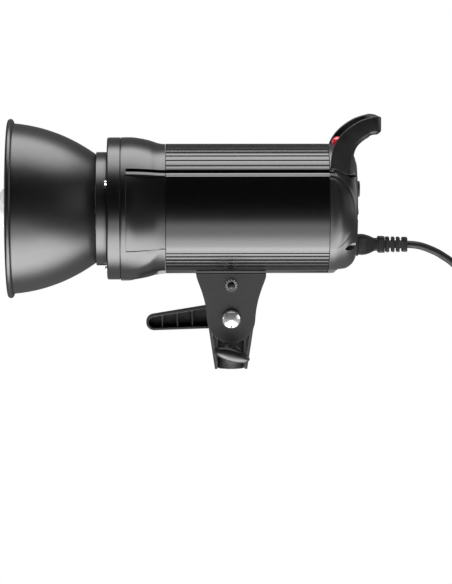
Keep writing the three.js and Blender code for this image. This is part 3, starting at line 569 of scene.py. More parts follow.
def bayonet_collar():
    shell = rounded(
        [
            (-134.2, 46.6, 0),
            (-134.2, 56.3, 0.9),
            (-123.7, 56.3, 0.5),
            (-123.7, 48.6, 0),
            (-113.7, 48.6, 0.5),
            (-113.7, 46.6, 0.5),
        ]
    )
    parts = [lathe(shell, 144)]
    # Three cam pads, the first on the near side above the lock pin, and three bayonet lugs.
    for turn in (0, 120, 240):
        start = math.radians(-61.6 + turn)
        parts.append(collar_pad(start, start + math.radians(13.4)))
        middle = math.radians(turn)
        rings = []
        for x in (-118.3, -114.5):
            ring = [place_x(x, 53.2, middle + math.radians(10 - 2 * k)) for k in range(11)]
            ring += [place_x(x, 48.2, middle - math.radians(10 - 2 * k)) for k in range(11)]
            rings.append(ring)
        parts.append(loft(rings))
    vertices, faces = merge(parts)
    piece("bayonet_collar_cast", vertices, faces, "bowl", REFLECTOR, "bayonet_collar")


def front_ring():
    profile = rounded(
        [
            (-123.3, 50.1, 0.5),
            (-123.3, 70.9, 2.2),
            (-110.1, 70.9, 0.8),
            (-110.1, 54.6, 0),
            (-118.9, 54.6, 0),
            (-118.9, 50.1, 0.4),
        ],
        steps=5,
    )
    turned("front_ring_moulding", profile, "housing", HEAD, "front_ring", 192)


def mount_pins():
    pins = {
        "reflector_lock_pin": (152, "lock_pin_body"),
        "locating_stud_low": (270, HEAD),
        "locating_stud_far": (28, HEAD),
    }
    for node, (angle, body) in pins.items():
        turn = math.radians(angle)
        y, z = 60 * math.cos(turn), AXIS_Z + 60 * math.sin(turn)
        corners = [(-125.7, 0, 0), (-125.7, 2.3, 1.2), (-118, 2.3, 0), (-118, 0, 0)]
        profile = rounded(corners, closed=False)
        turned(node + "_turned", profile, "chrome", body, node, 32, y=y, z=z)


# ---------------------------------------------------------------- housings
# (x, radius) of the bell's skin, and (x, depth below the axis) of its flat belly.
BELL = [
    (-109.8, 70.95),
    (-103, 71.1),
    (-97, 70.9),
    (-89, 69.7),
    (-81, 67.9),
    (-76, 66.2),
    (-72, 65.0),
    (-68.5, 64.4),
    (-65.6, 64.35),
]
BELL_BELLY = [
    (-109.8, 70.7),
    (-100.6, 70.5),
    (-91.6, 68.4),
    (-86, 67.1),
    (-77.6, 65.3),
    (-70, 64.2),
    (-65.6, 63.6),
]
KEEL_HALF, KEEL_DEPTH = 20.0, 63.4
GROOVE_TOP, RIDGE_TOP, RIDGE_LOW = 40.7, 37.9, 35.1
GROOVE_START_X = -104.4
# The side panels are flatter than the tube: their half width, radius and wall.
PANEL_REACH, PANEL_ARC, PANEL_WALL = 60.2, 95.0, 2.7
PANEL_BLEND_X, PANEL_BLEND_LENGTH = -105.0, 39.5


def interpolate(points, x):
    """The value at x of a line through (x, value) points."""
    for (x0, y0), (x1, y1) in zip(points, points[1:]):
        if x <= x1:
            return y0 + (y1 - y0) * (x - x0) / (x1 - x0)
    return points[-1][1]


def smooth(value, low, high):
    """0 below low, 1 above high, and a smooth rise between."""
    t = max(0.0, min(1.0, (value - low) / (high - low)))
    return t * t * (3 - 2 * t)


def panel_reach(height):
    """Half width of the side panels' section at a height above the lamp axis."""
    return PANEL_REACH - PANEL_ARC + math.sqrt(max(0.0, PANEL_ARC**2 - height**2))


def flattened(y, height, share):
    """Half width y of a round section, drawn in by a share towards the side panel."""
    return y + (min(y, panel_reach(height)) - y) * share


def side_columns(radius, lift):
    """(angle, feature) columns for half a section, from the top to the bottom.

    Above the lamp axis a wide groove, a ridge and the panel; below, a thin groove only."""
    heights = (GROOVE_TOP, RIDGE_TOP, RIDGE_LOW)
    groove, ridge, edge = [math.acos(min(1, (h + lift) / radius)) for h in heights]
    tiny = math.radians(0.18)
    columns = [(groove * k / 22, "plain") for k in range(22)]
    columns += [
        (groove - tiny, "plain"),
        (groove + tiny * 0.5, "groove"),
        (ridge - tiny * 0.5, "groove"),
        (ridge, "rise"),
        (ridge + (edge - ridge) * 0.5, "ridge"),
        (edge - tiny, "lip"),
        (edge, "lip"),
        (edge + tiny, "panel"),
    ]
    low = math.pi - edge + math.radians(1.5)
    columns += [(edge + tiny + (low - edge - tiny * 2) * k / 30, "panel") for k in range(1, 31)]
    columns += [(low + tiny, "thin"), (low + tiny * 3, "thin"), (low + tiny * 5, "plain")]
    rest = math.pi - low - tiny * 5
    columns += [(low + tiny * 5 + rest * k / 22, "plain") for k in range(1, 23)]
    return columns


# How far each feature of the bell's skin stands out.
OFFSET = {
    "plain": 0.0,
    "groove": -4.5,
    "rise": -0.1,
    "ridge": 0.15,
    "lip": 0.45,
    "panel": -0.2,
    "thin": -0.75,
}


def bell_ring(x, radius, belly):
    """One ring of the bell, with its grooves behind their start and its panels blending in."""
    lift = 1.7 * (radius - TUBE_RADIUS) / 6.5
    strength = 1.0 if x > GROOVE_START_X else 0.0
    share = max(0.0, min(1.0, (x - PANEL_BLEND_X) / PANEL_BLEND_LENGTH))
    half = []
    for angle, kind in side_columns(radius, lift):
        r = radius + OFFSET[kind] * strength
        y, z = r * math.sin(angle), r * math.cos(angle)
        if kind == "panel" or z < 0:
            y = flattened(y, z, share)
        if z < 0 and y < KEEL_HALF:
            z = min(z, -belly)
        half.append((x, y, AXIS_Z + z))
    mirrored = [(px, -py, pz) for px, py, pz in reversed(half[1:-1])]
    return half + mirrored


def front_bell():
    skin, belly = spline(BELL, 6), spline(BELL_BELLY, 6)
    groove_ends = {GROOVE_START_X - 0.05, GROOVE_START_X + 0.3}
    xs = sorted({round(x, 3) for x, _ in skin} | groove_ends)
    rings = [bell_ring(x, interpolate(skin, x), interpolate(belly, x)) for x in xs]
    # The front edge is drawn in a little, as a chamfer.
    rings[0] = [(x, y * 0.994, AXIS_Z + (z - AXIS_Z) * 0.994) for x, y, z in rings[0]]
    for x, drop in ((xs[-1], 8.2), (-80, 7.2), (-100, 6.2), (xs[0], 6.2)):
        radius = interpolate(skin, x) - drop
        ring = []
        for _, y, z in bell_ring(-120, radius, 0.0):
            scale = radius / math.hypot(y, z - AXIS_Z)
            ring.append((x, y * scale, AXIS_Z + (z - AXIS_Z) * scale))
        rings.append(ring)
    vertices, faces = loft(rings, closed_path=True)
    piece("front_bell_moulding", vertices, faces, "bell", HEAD, "front_bell", sharp=28)


# Angles in degrees between the ribs, and the radii of the grooves' floors.
RIB_PITCH, LOW_RIB_PITCH, LOW_RIB_START = 6.6, 5.15, 29.8
HALF_GROOVE = 0.55
RIB_FLOOR, WIDE_FLOOR, SEAM_FLOOR = 62.9, 59.6, 63.3


def tube_section():
    """Half of the ribbed section as (y, height, corner rounding), from the top to the keel."""
    rows = []

    def at(angle, radius, corner):
        turn = math.radians(angle)
        rows.append((radius * math.sin(turn), radius * math.cos(turn), corner))

    def groove(angle):
        at(angle - HALF_GROOVE, TUBE_RADIUS, 0.35)
        at(angle - HALF_GROOVE, RIB_FLOOR, 0.1)
        at(angle + HALF_GROOVE, RIB_FLOOR, 0.1)
        at(angle + HALF_GROOVE, TUBE_RADIUS, 0.35)

    at(0, RIB_FLOOR, 0)
    at(HALF_GROOVE, RIB_FLOOR, 0.1)
    at(HALF_GROOVE, TUBE_RADIUS, 0.35)
    for i in range(1, 8):
        groove(i * RIB_PITCH)
    heights = (GROOVE_TOP, RIDGE_TOP, RIDGE_LOW)
    wide, ridge, edge = [math.degrees(math.acos(h / TUBE_RADIUS)) for h in heights]
    at(wide, TUBE_RADIUS, 0.25)
    at(wide - 0.6, WIDE_FLOOR, 0.2)
    at(ridge + 0.6, WIDE_FLOOR, 0.2)
    at(ridge, TUBE_RADIUS - 0.15, 0.35)
    at(edge - 0.3, TUBE_RADIUS + 0.5, 0.5)
    panel_top = RIDGE_LOW - 0.5
    rows.append((panel_reach(panel_top), panel_top, 0.2))
    count = 28
    for k in range(1, count):
        height = panel_top * (1 - 2 * k / count)
        rows.append((panel_reach(height), height, 0))
    at(180 - edge + 0.6, TUBE_RADIUS - 0.4, 0.6)
    # A shallow seam under the panel, and then the lower ribs.
    at(128.2, TUBE_RADIUS, 0.3)
    at(128.5, SEAM_FLOOR, 0.2)
    at(130.8, SEAM_FLOOR, 0.2)
    at(131.0, TUBE_RADIUS, 0.3)
    for i in range(3, -1, -1):
        groove(180 - LOW_RIB_START - i * LOW_RIB_PITCH)
    return rows


def body_tube():
    half = tube_section()
    keel_side = -math.sqrt(TUBE_RADIUS**2 - KEEL_HALF**2)
    half += [(KEEL_HALF, keel_side, 0.2), (KEEL_HALF, -KEEL_DEPTH, 0.5)]
    mirrored = [(-y, z, c) for y, z, c in reversed(half[1:])]
    outline = rounded(half + mirrored, steps=2)
    rings = []
    chamfer, bore_radius = 0.35, 58.2
    for x, inset in (
        (TUBE_FRONT_X, chamfer),
        (TUBE_FRONT_X + chamfer, 0),
        (TUBE_BACK_X - chamfer, 0),
        (TUBE_BACK_X, chamfer),
    ):
        shrink = 1 - inset / TUBE_RADIUS
        rings.append([(x, y * shrink, AXIS_Z + z * shrink) for y, z in outline])
    bore = []
    for y, z in outline:
        shrink = bore_radius / math.hypot(y, z)
        inner_y, inner_z = y * shrink, z * shrink
        reach = max(0.0, panel_reach(inner_z) - PANEL_WALL)
        bore.append((math.copysign(min(abs(inner_y), reach), inner_y), inner_z))
    for x in (TUBE_BACK_X, TUBE_FRONT_X):
        rings.append([(x, y, AXIS_Z + z) for y, z in bore])
    vertices, faces = loft(rings, closed_path=True)
    piece("body_tube_extrusion", vertices, faces, "extrusion", HEAD, "body_tube", sharp=25)


# (x, radius) of the rear shell's skin.
SHELL = [
    (SHELL_FRONT_X, 64.35),
    (99.4, 64.3),
    (102.5, 64.0),
    (106, 63.0),
    (110, 61.6),
    (114, 60.1),
    (117.5, 58.2),
    (120.6, 55.6),
    (122.9, 52.2),
    (124.1, 48.2),
    (124.7, 43),
    (125.1, 34),
    (125.5, 22),
    (125.8, 10),
    (125.9, 0),
]
# The side panels end on the rear shell in a bowed outline.
PANEL_END_X, PANEL_END_LENGTH, PANEL_END_POWER = SHELL_FRONT_X, 25.4, 1.85
PANEL_END_ABOVE, PANEL_END_BELOW = 36.5, 37.6


def panel_distance(x, height):
    """Distance to the panel's outline on the rear shell, positive outside it."""
    tall = PANEL_END_ABOVE if height > 0 else PANEL_END_BELOW
    u = max(1e-6, (x - PANEL_END_X) / PANEL_END_LENGTH)
    v = max(1e-6, abs(height) / tall)
    p = PANEL_END_POWER
    f = (u**p + v**p) ** (1 / p)
    slope = math.hypot((u / f) ** (p - 1) / PANEL_END_LENGTH, (v / f) ** (p - 1) / tall)
    return (f - 1) / slope


def shell_offset(x, height):
    """How far the rear shell's skin stands in or out at a point of its side."""
    d = panel_distance(x, height)
    # The panel sinks towards a thin lip, and the hollow dies away low down.
    lip = 0.55 * math.exp(-(((d + 0.4) / 1.1) ** 2)) * smooth(height, -40, -30)
    hollow = 1.3 * smooth(d, -19, -1) * (1 - smooth(d, 0.5, 8)) * smooth(height, -24, 8)
    # The tube's wide groove runs out along the panel's upper edge.
    groove = 0.0
    if height > 0:
        groove = 2.0 * (1 - smooth(x, 97.5, 104)) * math.exp(-(((d - 3.0) / 1.3) ** 6))
    return lip - hollow - groove


SHELL_INSIDE = [(119.6, 30), (118.5, 49), (114, 54.0), (107, 56.4), (SHELL_FRONT_X, 57.2)]
KEEL_END = [(SHELL_FRONT_X, KEEL_DEPTH), (101.8, 63.2), (106, 59.6), (126, 59.6)]


def shell_point(x, radius, angle):
    """A point of the shell's skin, with the panels' relief and the keel's flat end."""
    across = abs(math.sin(angle))
    on_wall = radius > 30
    if on_wall and across > 0.45:
        relief = shell_offset(x, radius * math.cos(angle))
        radius += relief * min(1.0, (across - 0.45) / 0.1)
    y, z = radius * math.sin(angle), radius * math.cos(angle)
    if on_wall and abs(z) < 40:
        share = 1 - smooth(x, SHELL_FRONT_X, 113)
        y = math.copysign(flattened(abs(y), z, share), y)
    floor = interpolate(KEEL_END, x)
    on_keel = x < 106 and z < -58 and abs(y) < KEEL_HALF
    if z < -floor or on_keel:
        z = -floor
    return (x, y, AXIS_Z + z)


def rear_shell():
    columns = 720
    angles = [TAU * i / columns for i in range(columns)]
    rings = [[place_x(x, radius, angle) for angle in angles] for x, radius in SHELL_INSIDE]
    for x, radius in spline(SHELL, 6)[:-1]:
        rings.append([shell_point(x, radius, angle) for angle in angles])
    vertices, faces = loft(rings)
    # A fan closes each end: the inner face behind the panel, and the domed rear face.
    ends, last = faces[-2:], len(vertices)
    vertices += [(119.7, 0, AXIS_Z), (SHELL[-1][0], 0, AXIS_Z)]
    faces = faces[:-2]
    for hub, ring in zip((last, last + 1), ends):
        faces += [(ring[i], ring[(i + 1) % columns], hub) for i in range(columns)]
    shell = piece("rear_shell_moulding", vertices, faces, "shell", HEAD, "rear_shell", sharp=35)
    cut(shell, shell_cutters())


def cut(obj, cutters):
    """Cuts closed (vertices, faces) solids out of a piece and applies the result."""
    for vertices, faces in cutters:
        mesh = bpy.data.meshes.new("cutter")
        mesh.from_pydata([Vector(v) * MM for v in vertices], [], faces)
        bm = bmesh.new()
        bm.from_mesh(mesh)
        bmesh.ops.recalc_face_normals(bm, faces=bm.faces)
        bm.to_mesh(mesh)
        bm.free()
        cutter = bpy.data.objects.new("cutter", mesh)
        bpy.context.scene.collection.objects.link(cutter)
        modifier = obj.modifiers.new("Cut", "BOOLEAN")
        modifier.object = cutter
        modifier.solver = "EXACT"
        bpy.context.view_layer.update()
        graph = bpy.context.evaluated_depsgraph_get()
        result = bpy.data.meshes.new_from_object(obj.evaluated_get(graph))
        obj.modifiers.remove(modifier)
        bpy.data.objects.remove(cutter)
        old = obj.data
        obj.data = result
        bpy.data.meshes.remove(old)
    obj.data.shade_smooth()
    obj.data.set_sharp_from_angle(angle=math.radians(32))


REAR_SCREWS = [(sy * 45, AXIS_Z + sz * 35) for sy in (-1, 1) for sz in (-1, 1)]


def shell_cutters():
    """The screw recesses, the control panel's recess and the sensor's hole."""
    recess = [(108.2, 0), (108.2, 4), (131, 4), (131, 0)]
    cutters = [lathe(recess, 40, y=y, z=z) for y, z in REAR_SCREWS]
    outline = rounded_rectangle(31.3, 48.5, 16.3, 0, 158.8, steps=8)
    cutters.append(prism_x(outline, 121.3, 131))
    cutters.append(lathe([(215, 0), (215, 6.6), (232, 6.6), (232, 0)], 40, place_z, x=SENSOR_X))
    return cutters


def rear_screws():
    corners = [
        (104, 0, 0),
        (104, 1.8, 0),
        (108.5, 1.8, 0),
        (108.5, 3.5, 0.2),
        (110.6, 3.4, 0.9),
        (111.3, 0, 0),
    ]
    profile = rounded(corners, closed=False)
    for name, (y, z) in zip(("near_low", "near_high", "far_low", "far_high"), REAR_SCREWS):
        node = "rear_screw_" + name
        screw = turned(node + "_turned", profile, "black_steel", HEAD, node, 32, y=y, z=z)
        cutters = []
        for wide, tall in ((2.1, 0.42), (0.42, 2.1)):
            cutters.append(box_parts(109.9, 113, y - wide, y + wide, z - tall, z + tall))
        cut(screw, cutters)


# ---------------------------------------------------------------- handle and sensor
def handle():
    """A flat bar swept up one arm, round the tip and down the other."""
    spine = [
        (108.2, 196, 11.2),
        (108.2, 203, 11.1),
        (108.9, 212, 10.8),
        (110.9, 221, 10.4),
        (115.2, 228.6, 9.8),
        (121.5, 234.8, 9.4),
        (129.0, 239.8, 9.2),
        (135.2, 242.6, 8.8),
        (139.6, 243.9, 9.1),
    ]
    arm_y = [-44, -44, -43.9, -43.8, -43.6, -43.2, -42.8, -42.4, -42.0]
    rows = spline([(x, y, z, deep) for (x, z, deep), y in zip(spine, arm_y)], 7)

    def section(centre, across, depth, half_thick, half_deep):
        """Rounded section: flat outer face, small outer bevels and a wide one below."""
        corners = [
            (half_thick, half_deep, 1.2),
            (-half_thick, half_deep, 1.2),
            (-half_thick, -half_deep, 1.6),
            (half_thick - 3.6, -half_deep, 1.6),
            (half_thick, -half_deep + 3.2, 1.2),
        ]
        return [tuple(centre + across * a + depth * b) for a, b in rounded(corners, steps=4)]

    half_thick, bend, upright = 5.6, 2.0, Vector((0, 0, 1))
    rings = []
    for i, (x, y, z, deep) in enumerate(rows):
        before, after = rows[max(0, i - 1)], rows[min(len(rows) - 1, i + 1)]
        tangent = Vector((after[0] - before[0], 0, after[2] - before[2])).normalized()
        depth = Vector((-tangent.z, 0, tangent.x))
        depth = depth.lerp(upright, smooth(x, 129, 139)).normalized()
        tip = Vector((x, y, z))
        rings.append(section(tip, Vector((0, -1, 0)), depth, half_thick, deep))
    # The corner turns from the arm's direction to the crossbar's.
    pivot = tip + Vector((0, bend, 0))
    for k in range(1, 9):
        turn = math.radians(90) * k / 8
        across = Vector((math.sin(turn), -math.cos(turn), 0))
        centre = pivot + across * bend
        centre.z = tip.z - 0.2 * k / 8
        rings.append(section(centre, across, depth, half_thick, deep - 0.4 * k / 8))
    mirrored = [[(x, -y, z) for x, y, z in ring] for ring in reversed(rings)]
    vertices, faces = loft(rings + mirrored)
    obj = piece("handle_moulding", vertices, faces, "handle", HEAD, "handle", sharp=40)
    # The feet are cut to the housing's skin, with a small gap.
    skin = [(x, r + 0.35) for x, r in spline(SHELL, 4)]
    front = [(85, 0), (85, 64.9), (SHELL_FRONT_X, 64.9)]
    cut(obj, [lathe(front + skin[1:-1] + [(126.3, 0)], 180)])


def slave_sensor():
    base, radius = 225.4, 6.3
    dome = [(222, 0), (222, radius), (base, radius)]
    for k in range(1, 13):
        angle = math.radians(90 * k / 12)
        dome.append((base + radius * math.sin(angle), radius * math.cos(angle)))
    core = rounded([(216, 0, 0), (216, 3.6, 0.2), (226, 3.6, 1.4), (227.6, 0, 0)], closed=False)
    collar = rounded([(221.4, 6.45, 0), (223.9, 6.45, 0.2), (223.9, 8.4, 0.6), (221.4, 8.8, 0)])
    for name, profile, material, replaces, segments, sharp in (
        ("lens", dome, "red", "slave_sensor_dome", 48, 45),
        ("diode", core, "black_steel", (), 32, 32),
        ("collar", collar, "grip", (), 48, 32),
    ):
        name = "slave_sensor_" + name
        turned(name, profile, material, HEAD, replaces, segments, sharp, place_z, x=SENSOR_X)


# ---------------------------------------------------------------- control panel
def rear_x(y, z):
    """x of the domed rear face at a point of the panel."""
    return interpolate([(r, x) for x, r in reversed(SHELL)], math.hypot(y, z - AXIS_Z))


def panel_controls():
    bezel = rounded_rectangle(21.4, 8.4, 3, 0, 197)
    hole = rounded_rectangle(20.1, 7.1, 2, 0, 197)
    rings = []
    for outline, rise in ((bezel, 0.0), (bezel, 0.45), (hole, 0.45), (hole, -0.6)):
        rings.append([(rear_x(y, z) + rise - 0.05, y, z) for y, z in outline])
    vertices, faces = loft(rings, closed_path=True)
    piece("display_bezel", vertices, faces, "rubber", HEAD, sharp=40)
    knurled_dial()
    corners = [(120.5, 0, 0), (120.5, 3.5, 0), (126.0, 3.5, 0.6), (126.5, 2.6, 0.8), (126.2, 0, 0)]
    button = rounded(corners, closed=False)
    for node, y, material in (
        ("lamp_button", 2, "grip"),
        ("slave_button", 14, "grip"),
        ("test_button", 26, "red_button"),
    ):
        turned(node + "_cap", button, material, node + "_body", node, 40, y=y, z=DIAL_Z)
        top = rear_x(y, DIAL_Z) + 0.5
        collar = rounded([(124.2, 3.95, 0), (top, 3.95, 0.2), (top, 5, 0.5), (124.2, 5.2, 0)])
        turned(node + "_surround", collar, "rubber", HEAD, (), 40, y=y, z=DIAL_Z)
    jack = rounded([(112, 2, 0), (112, 4, 0), (126.3, 4, 0.4), (126.3, 2, 0.4)])
    turned("sync_jack_barrel", jack, "steel", HEAD, "sync_jack", 40, y=JACK_Y, z=SOCKETS_Z)
    rings = []
    for x, radius in ((125.3, 6.2), (126.5, 6.2), (126.5, 4.1), (125.3, 4.1)):
        centre = Vector((x, JACK_Y, SOCKETS_Z))
        rings.append(circle(centre, Vector((0, 1, 0)), Vector((0, 0, 1)), radius, 6))
    vertices, faces = loft(rings, closed_path=True)
    piece("sync_jack_nut", vertices, faces, "steel", HEAD, bevel=(0.25, 2))
    cap = rounded([(116, 0, 0), (116, 5.5, 0), (126.4, 5.5, 0.7), (126.4, 0, 0)], closed=False)
    centre = {"y": FUSE_Y, "z": SOCKETS_Z}
    fuse = turned("fuse_cap_turned", cap, "rubber", "fuse_cap_body", "fuse_cap", 48, **centre)
    cut(fuse, [box_parts(125.6, 128, FUSE_Y - 4, FUSE_Y + 4, SOCKETS_Z - 0.6, SOCKETS_Z + 0.6)])
    panel_marks()


def knurled_dial():
    teeth, columns = 24, 144
    rings = []
    for x, radius, depth in (
        (125.6, 7.268, 0.0),
        (125.9, 7.9, 0.28),
        (127.0, 7.9, 0.28),
        (127.4, 7.505, 0.1),
        (127.6, 6.794, 0.0),
        (127.3, 5.4, 0.0),
    ):
        ring = []
        for k in range(columns):
            angle = TAU * k / columns
            r = radius - depth * (0.5 - 0.5 * math.cos(angle * teeth))
            ring.append(place_x(x, r, angle, DIAL_Y, DIAL_Z))
        rings.append(ring)
    vertices, faces = loft(rings)
    piece("power_dial_knurled", vertices, faces, "grip", "dial_body", "power_dial", sharp=40)
    mark = box_parts(127.2, 127.45, DIAL_Y - 0.4, DIAL_Y + 0.4, DIAL_Z + 2, DIAL_Z + 5)
    piece("power_dial_mark", *mark, "print", "dial_body")
    shaft = lathe([(117, 0), (117, 3), (126, 3), (126, 0)], 24, y=DIAL_Y, z=DIAL_Z)
    piece("power_dial_shaft", *shaft, "steel", "dial_body")


def panel_marks():
    """Tick marks round the dial and plain printed rules on the panel."""
    parts = []
    half_tick, half_rule, rule_length = 0.22, 0.18, 56
    for k in range(11):
        angle = math.radians(-135 + 27 * k)
        inner, outer = 9.6, 11.2 if k % 5 else 11.9
        outline = []
        for r, side in ((inner, -half_tick), (outer, -half_tick), (outer, half_tick), (inner, half_tick)):
            y = DIAL_Y + r * math.sin(angle) + side * math.cos(angle)
            outline.append((y, DIAL_Z + r * math.cos(angle) - side * math.sin(angle)))
        parts.append(loft([[(rear_x(y, z) + d, y, z) for y, z in outline] for d in (-0.2, 0.07)]))
    for height in (169.6, 141.2):
        steps = [rule_length * (k / 24 - 0.5) for k in range(25)]
        outline = [(y, height - half_rule) for y in steps]
        outline += [(y, height + half_rule) for y in reversed(steps)]
        parts.append(loft([[(rear_x(y, z) + d, y, z) for y, z in outline] for d in (-0.2, 0.06)]))
    vertices, faces = merge(parts)
    piece("panel_print", vertices, faces, "print", HEAD, sharp=30)


# ---------------------------------------------------------------- mains lead
PLUG_Y, PLUG_Z = 10.0, 123.0


def mains_plug():
    sections = [
        (126.5, 12.7, 8.9, 1.4),
        (126.9, 13.3, 9.6, 1.6),
        (131.5, 13.5, 9.85, 1.8),
        (134.5, 13.0, 9.6, 2.0),
        (138.5, 11.2, 8.6, 2.4),
        (142, 9.0, 7.2, 2.8),
        (144, 7.6, 6.3, 3.0),
        (147.2, 7.2, 6.2, 3.0),
        (147.6, 7.9, 7.6, 2.4),
        (148.2, 8.3, 8.1, 2.2),
        (153.8, 8.2, 8.1, 2.2),
        (154.4, 7.8, 7.7, 2.2),
    ]
    rings = []
    for x, wide, tall, radius in sections:
        outline = rounded_rectangle(wide, tall, radius, PLUG_Y, PLUG_Z)
        rings.append([(x, y, z) for y, z in outline])
    parts = [loft(rings)]
    # Three shallow grip ridges on each side of the plug.
    for x in (129.4, 131.6, 133.8):
        for side in (-1, 1):
            low, high = sorted((PLUG_Y + side * 12.6, PLUG_Y + side * 13.75))
            parts.append(box_parts(x - 0.5, x + 0.5, low, high, PLUG_Z - 6, PLUG_Z + 6))
    vertices, faces = merge(parts)
    piece("mains_plug_overmould", vertices, faces, "rubber", LEAD, "mains_plug", sharp=38)
    nose = prism_x(rounded_rectangle(12, 8.2, 2, PLUG_Y, PLUG_Z), 113, 126.8)
    piece("mains_plug_nose", *nose, "rubber", LEAD, bevel=(0.5, 2))


def strain_relief():
    core = [(154, 0), (154, 4.0), (177, 4.3), (177, 0)]
    parts = [lathe(core, 32, y=PLUG_Y, z=PLUG_Z)]
    for x0, x1, tall, wide in (
        (155.6, 159.1, 7.7, 7.2),
        (161.4, 164.4, 7.6, 7.0),
        (166.4, 169.6, 7.5, 6.8),
        (171.8, 177.2, 7.3, 6.6),
    ):
        rings = []
        for x, inset in ((x0, 0.5), (x0 + 0.5, 0), (x1 - 0.5, 0), (x1, 0.5)):
            outline = rounded_rectangle(wide - inset, tall - inset, 2.2, PLUG_Y, PLUG_Z, 4)
            rings.append([(x, y, z) for y, z in outline])
        parts.append(loft(rings))
    # Webs that join neighbouring bars, by turns at the sides and across the middle.
    for i, (x0, x1) in enumerate(((154, 156), (158.8, 161.8), (164, 166.8), (169.2, 172.2))):
        half_y, half_z = (6.4, 2.4) if i % 2 else (5.0, 3.4)
        sides = (PLUG_Y - half_y, PLUG_Y + half_y, PLUG_Z - half_z, PLUG_Z + half_z)
        parts.append(box_parts(x0, x1, *sides))
    vertices, faces = merge(parts)
    piece("strain_relief_moulding", vertices, faces, "rubber", LEAD, "strain_relief", sharp=40)


# (x, z) along the lead's middle line, from inside the strain relief to the cut end.
LEAD_PATH = [
    (161, 123.0),
    (176, 123.0),
    (187.7, 122.0),
    (197.4, 119.2),
    (207.2, 114.9),
    (213.8, 111.0),
    (221.4, 105.8),
    (230.6, 97.6),
]


def mains_lead():
    sideways = Vector((0, 1, 0))
    path = [Vector((x, PLUG_Y, z)) for x, z in spline(LEAD_PATH, 10)]
    vertices, faces = swept(path, sideways, 3.75, 32)
    piece("mains_lead_jacket", vertices, faces, "rubber", LEAD, "mains_lead", sharp=50)
    # Three cores show at the lead's cut end.
    (x0, z0), (x1, z1) = LEAD_PATH[-2:]
    direction = Vector((x1 - x0, 0, z1 - z0)).normalized()
    upward = Vector((-direction.z, 0, direction.x))
    for k, centre in enumerate(circle(path[-1], sideways, upward, 1.6, 3)):
        rings = []
        for step in (-1.5, 0.35):
            rings.append(circle(Vector(centre) + direction * step, sideways, upward, 0.75, 16))
        piece("mains_core_%d" % (k + 1), *loft(rings), "winding", LEAD)


# ---------------------------------------------------------------- lamp and flash tube
def lamp():
    body, centre, radius = "modelling_lamp_body", -204.6, 30.0
    profile = []
    for k in range(31):
        angle = math.radians(k * 4)
        profile.append((centre - radius * math.cos(angle), radius * math.sin(angle)))
    neck = [profile[-1], (-177, 20.8), (-168, 16.2), (-160, 14.0), (-153.4, 13.1)]
    profile += spline(neck, 6)[1:] + [(-153.4, 0)]
    turned("modelling_lamp_bulb", profile, "frosted", body, "modelling_lamp_glass", 72, sharp=50)
    cap = [(-153.2, 0), (-153.2, 12.9)]
    for k in range(49):
        x = -151 + 20 * k / 48
        cap.append((x, 12.85 + 0.45 * math.cos(k * TAU / 12)))
    cap += [(-129.5, 12.2), (-126.5, 6), (-125.2, 4.4), (-125, 0)]
    turned("modelling_lamp_screw_cap", cap, "aluminium", body, "modelling_lamp_cap", 48)


def flash_tube():
    ring_x, foot_x, radius = -142.0, -112.9, 32.0
    points = []
    for k in range(13):
        angle = math.radians(-75 + k * 27.5)
        points.append((ring_x, radius * math.sin(angle), AXIS_Z - radius * math.cos(angle)))
    first, last = points[0][1:], points[-1][1:]
    path = [(x, *first) for x in (foot_x, -126, -138.5)] + points[1:-1]
    path += [(x, *last) for x in (-138.5, -126, foot_x)]
    tube = swept([Vector(p) for p in spline(path, 8)], Vector((0, 1, 0)), 4, 24)
    piece("flash_tube_ring", *tube, "clear", HEAD, "flash_tube", sharp=60)
    boot = [(foot_x, 4.15), (foot_x, 5.8), (-120.4, 5.8), (-121, 5.2), (-121, 4.15)]
    for i, (y, z) in enumerate((first, last)):
        turned("flash_tube_boot_%d" % (i + 1), boot, "ceramic", HEAD, (), 32, y=y, z=z)
    # A trigger wire is wound round the ring.
    wound, count = [], 240
    for k in range(count + 1):
        angle = math.radians(-70 + k * 320 / count)
        twist = TAU * k / 12
        r = radius + 4.25 * math.cos(twist)
        x = ring_x + 4.25 * math.sin(twist)
        wound.append(Vector((x, r * math.sin(angle), AXIS_Z - r * math.cos(angle))))
    wire = swept(wound, Vector((1, 0, 0)), 0.25, 6)
    piece("flash_trigger_wire", *wire, "steel", HEAD, sharp=60)


# ---------------------------------------------------------------- bracket, lever and socket
def pivot_bolt():
    sweep, radius = math.radians(76), 9.2
    dome = [(-27.4, 0)]
    for k in range(1, 11):
        angle = sweep * k / 10
        dome.append((-21.6 - 5.8 * math.cos(angle), radius * math.sin(angle) / math.sin(sweep)))
    dome += [(-21.3, radius), (-21.3, 5), (34, 5), (34, 0)]
    turned("pivot_bolt_turned", dome, "chrome", HEAD, "pivot_bolt", 64, 40, place_y, z=PIVOT_Z)


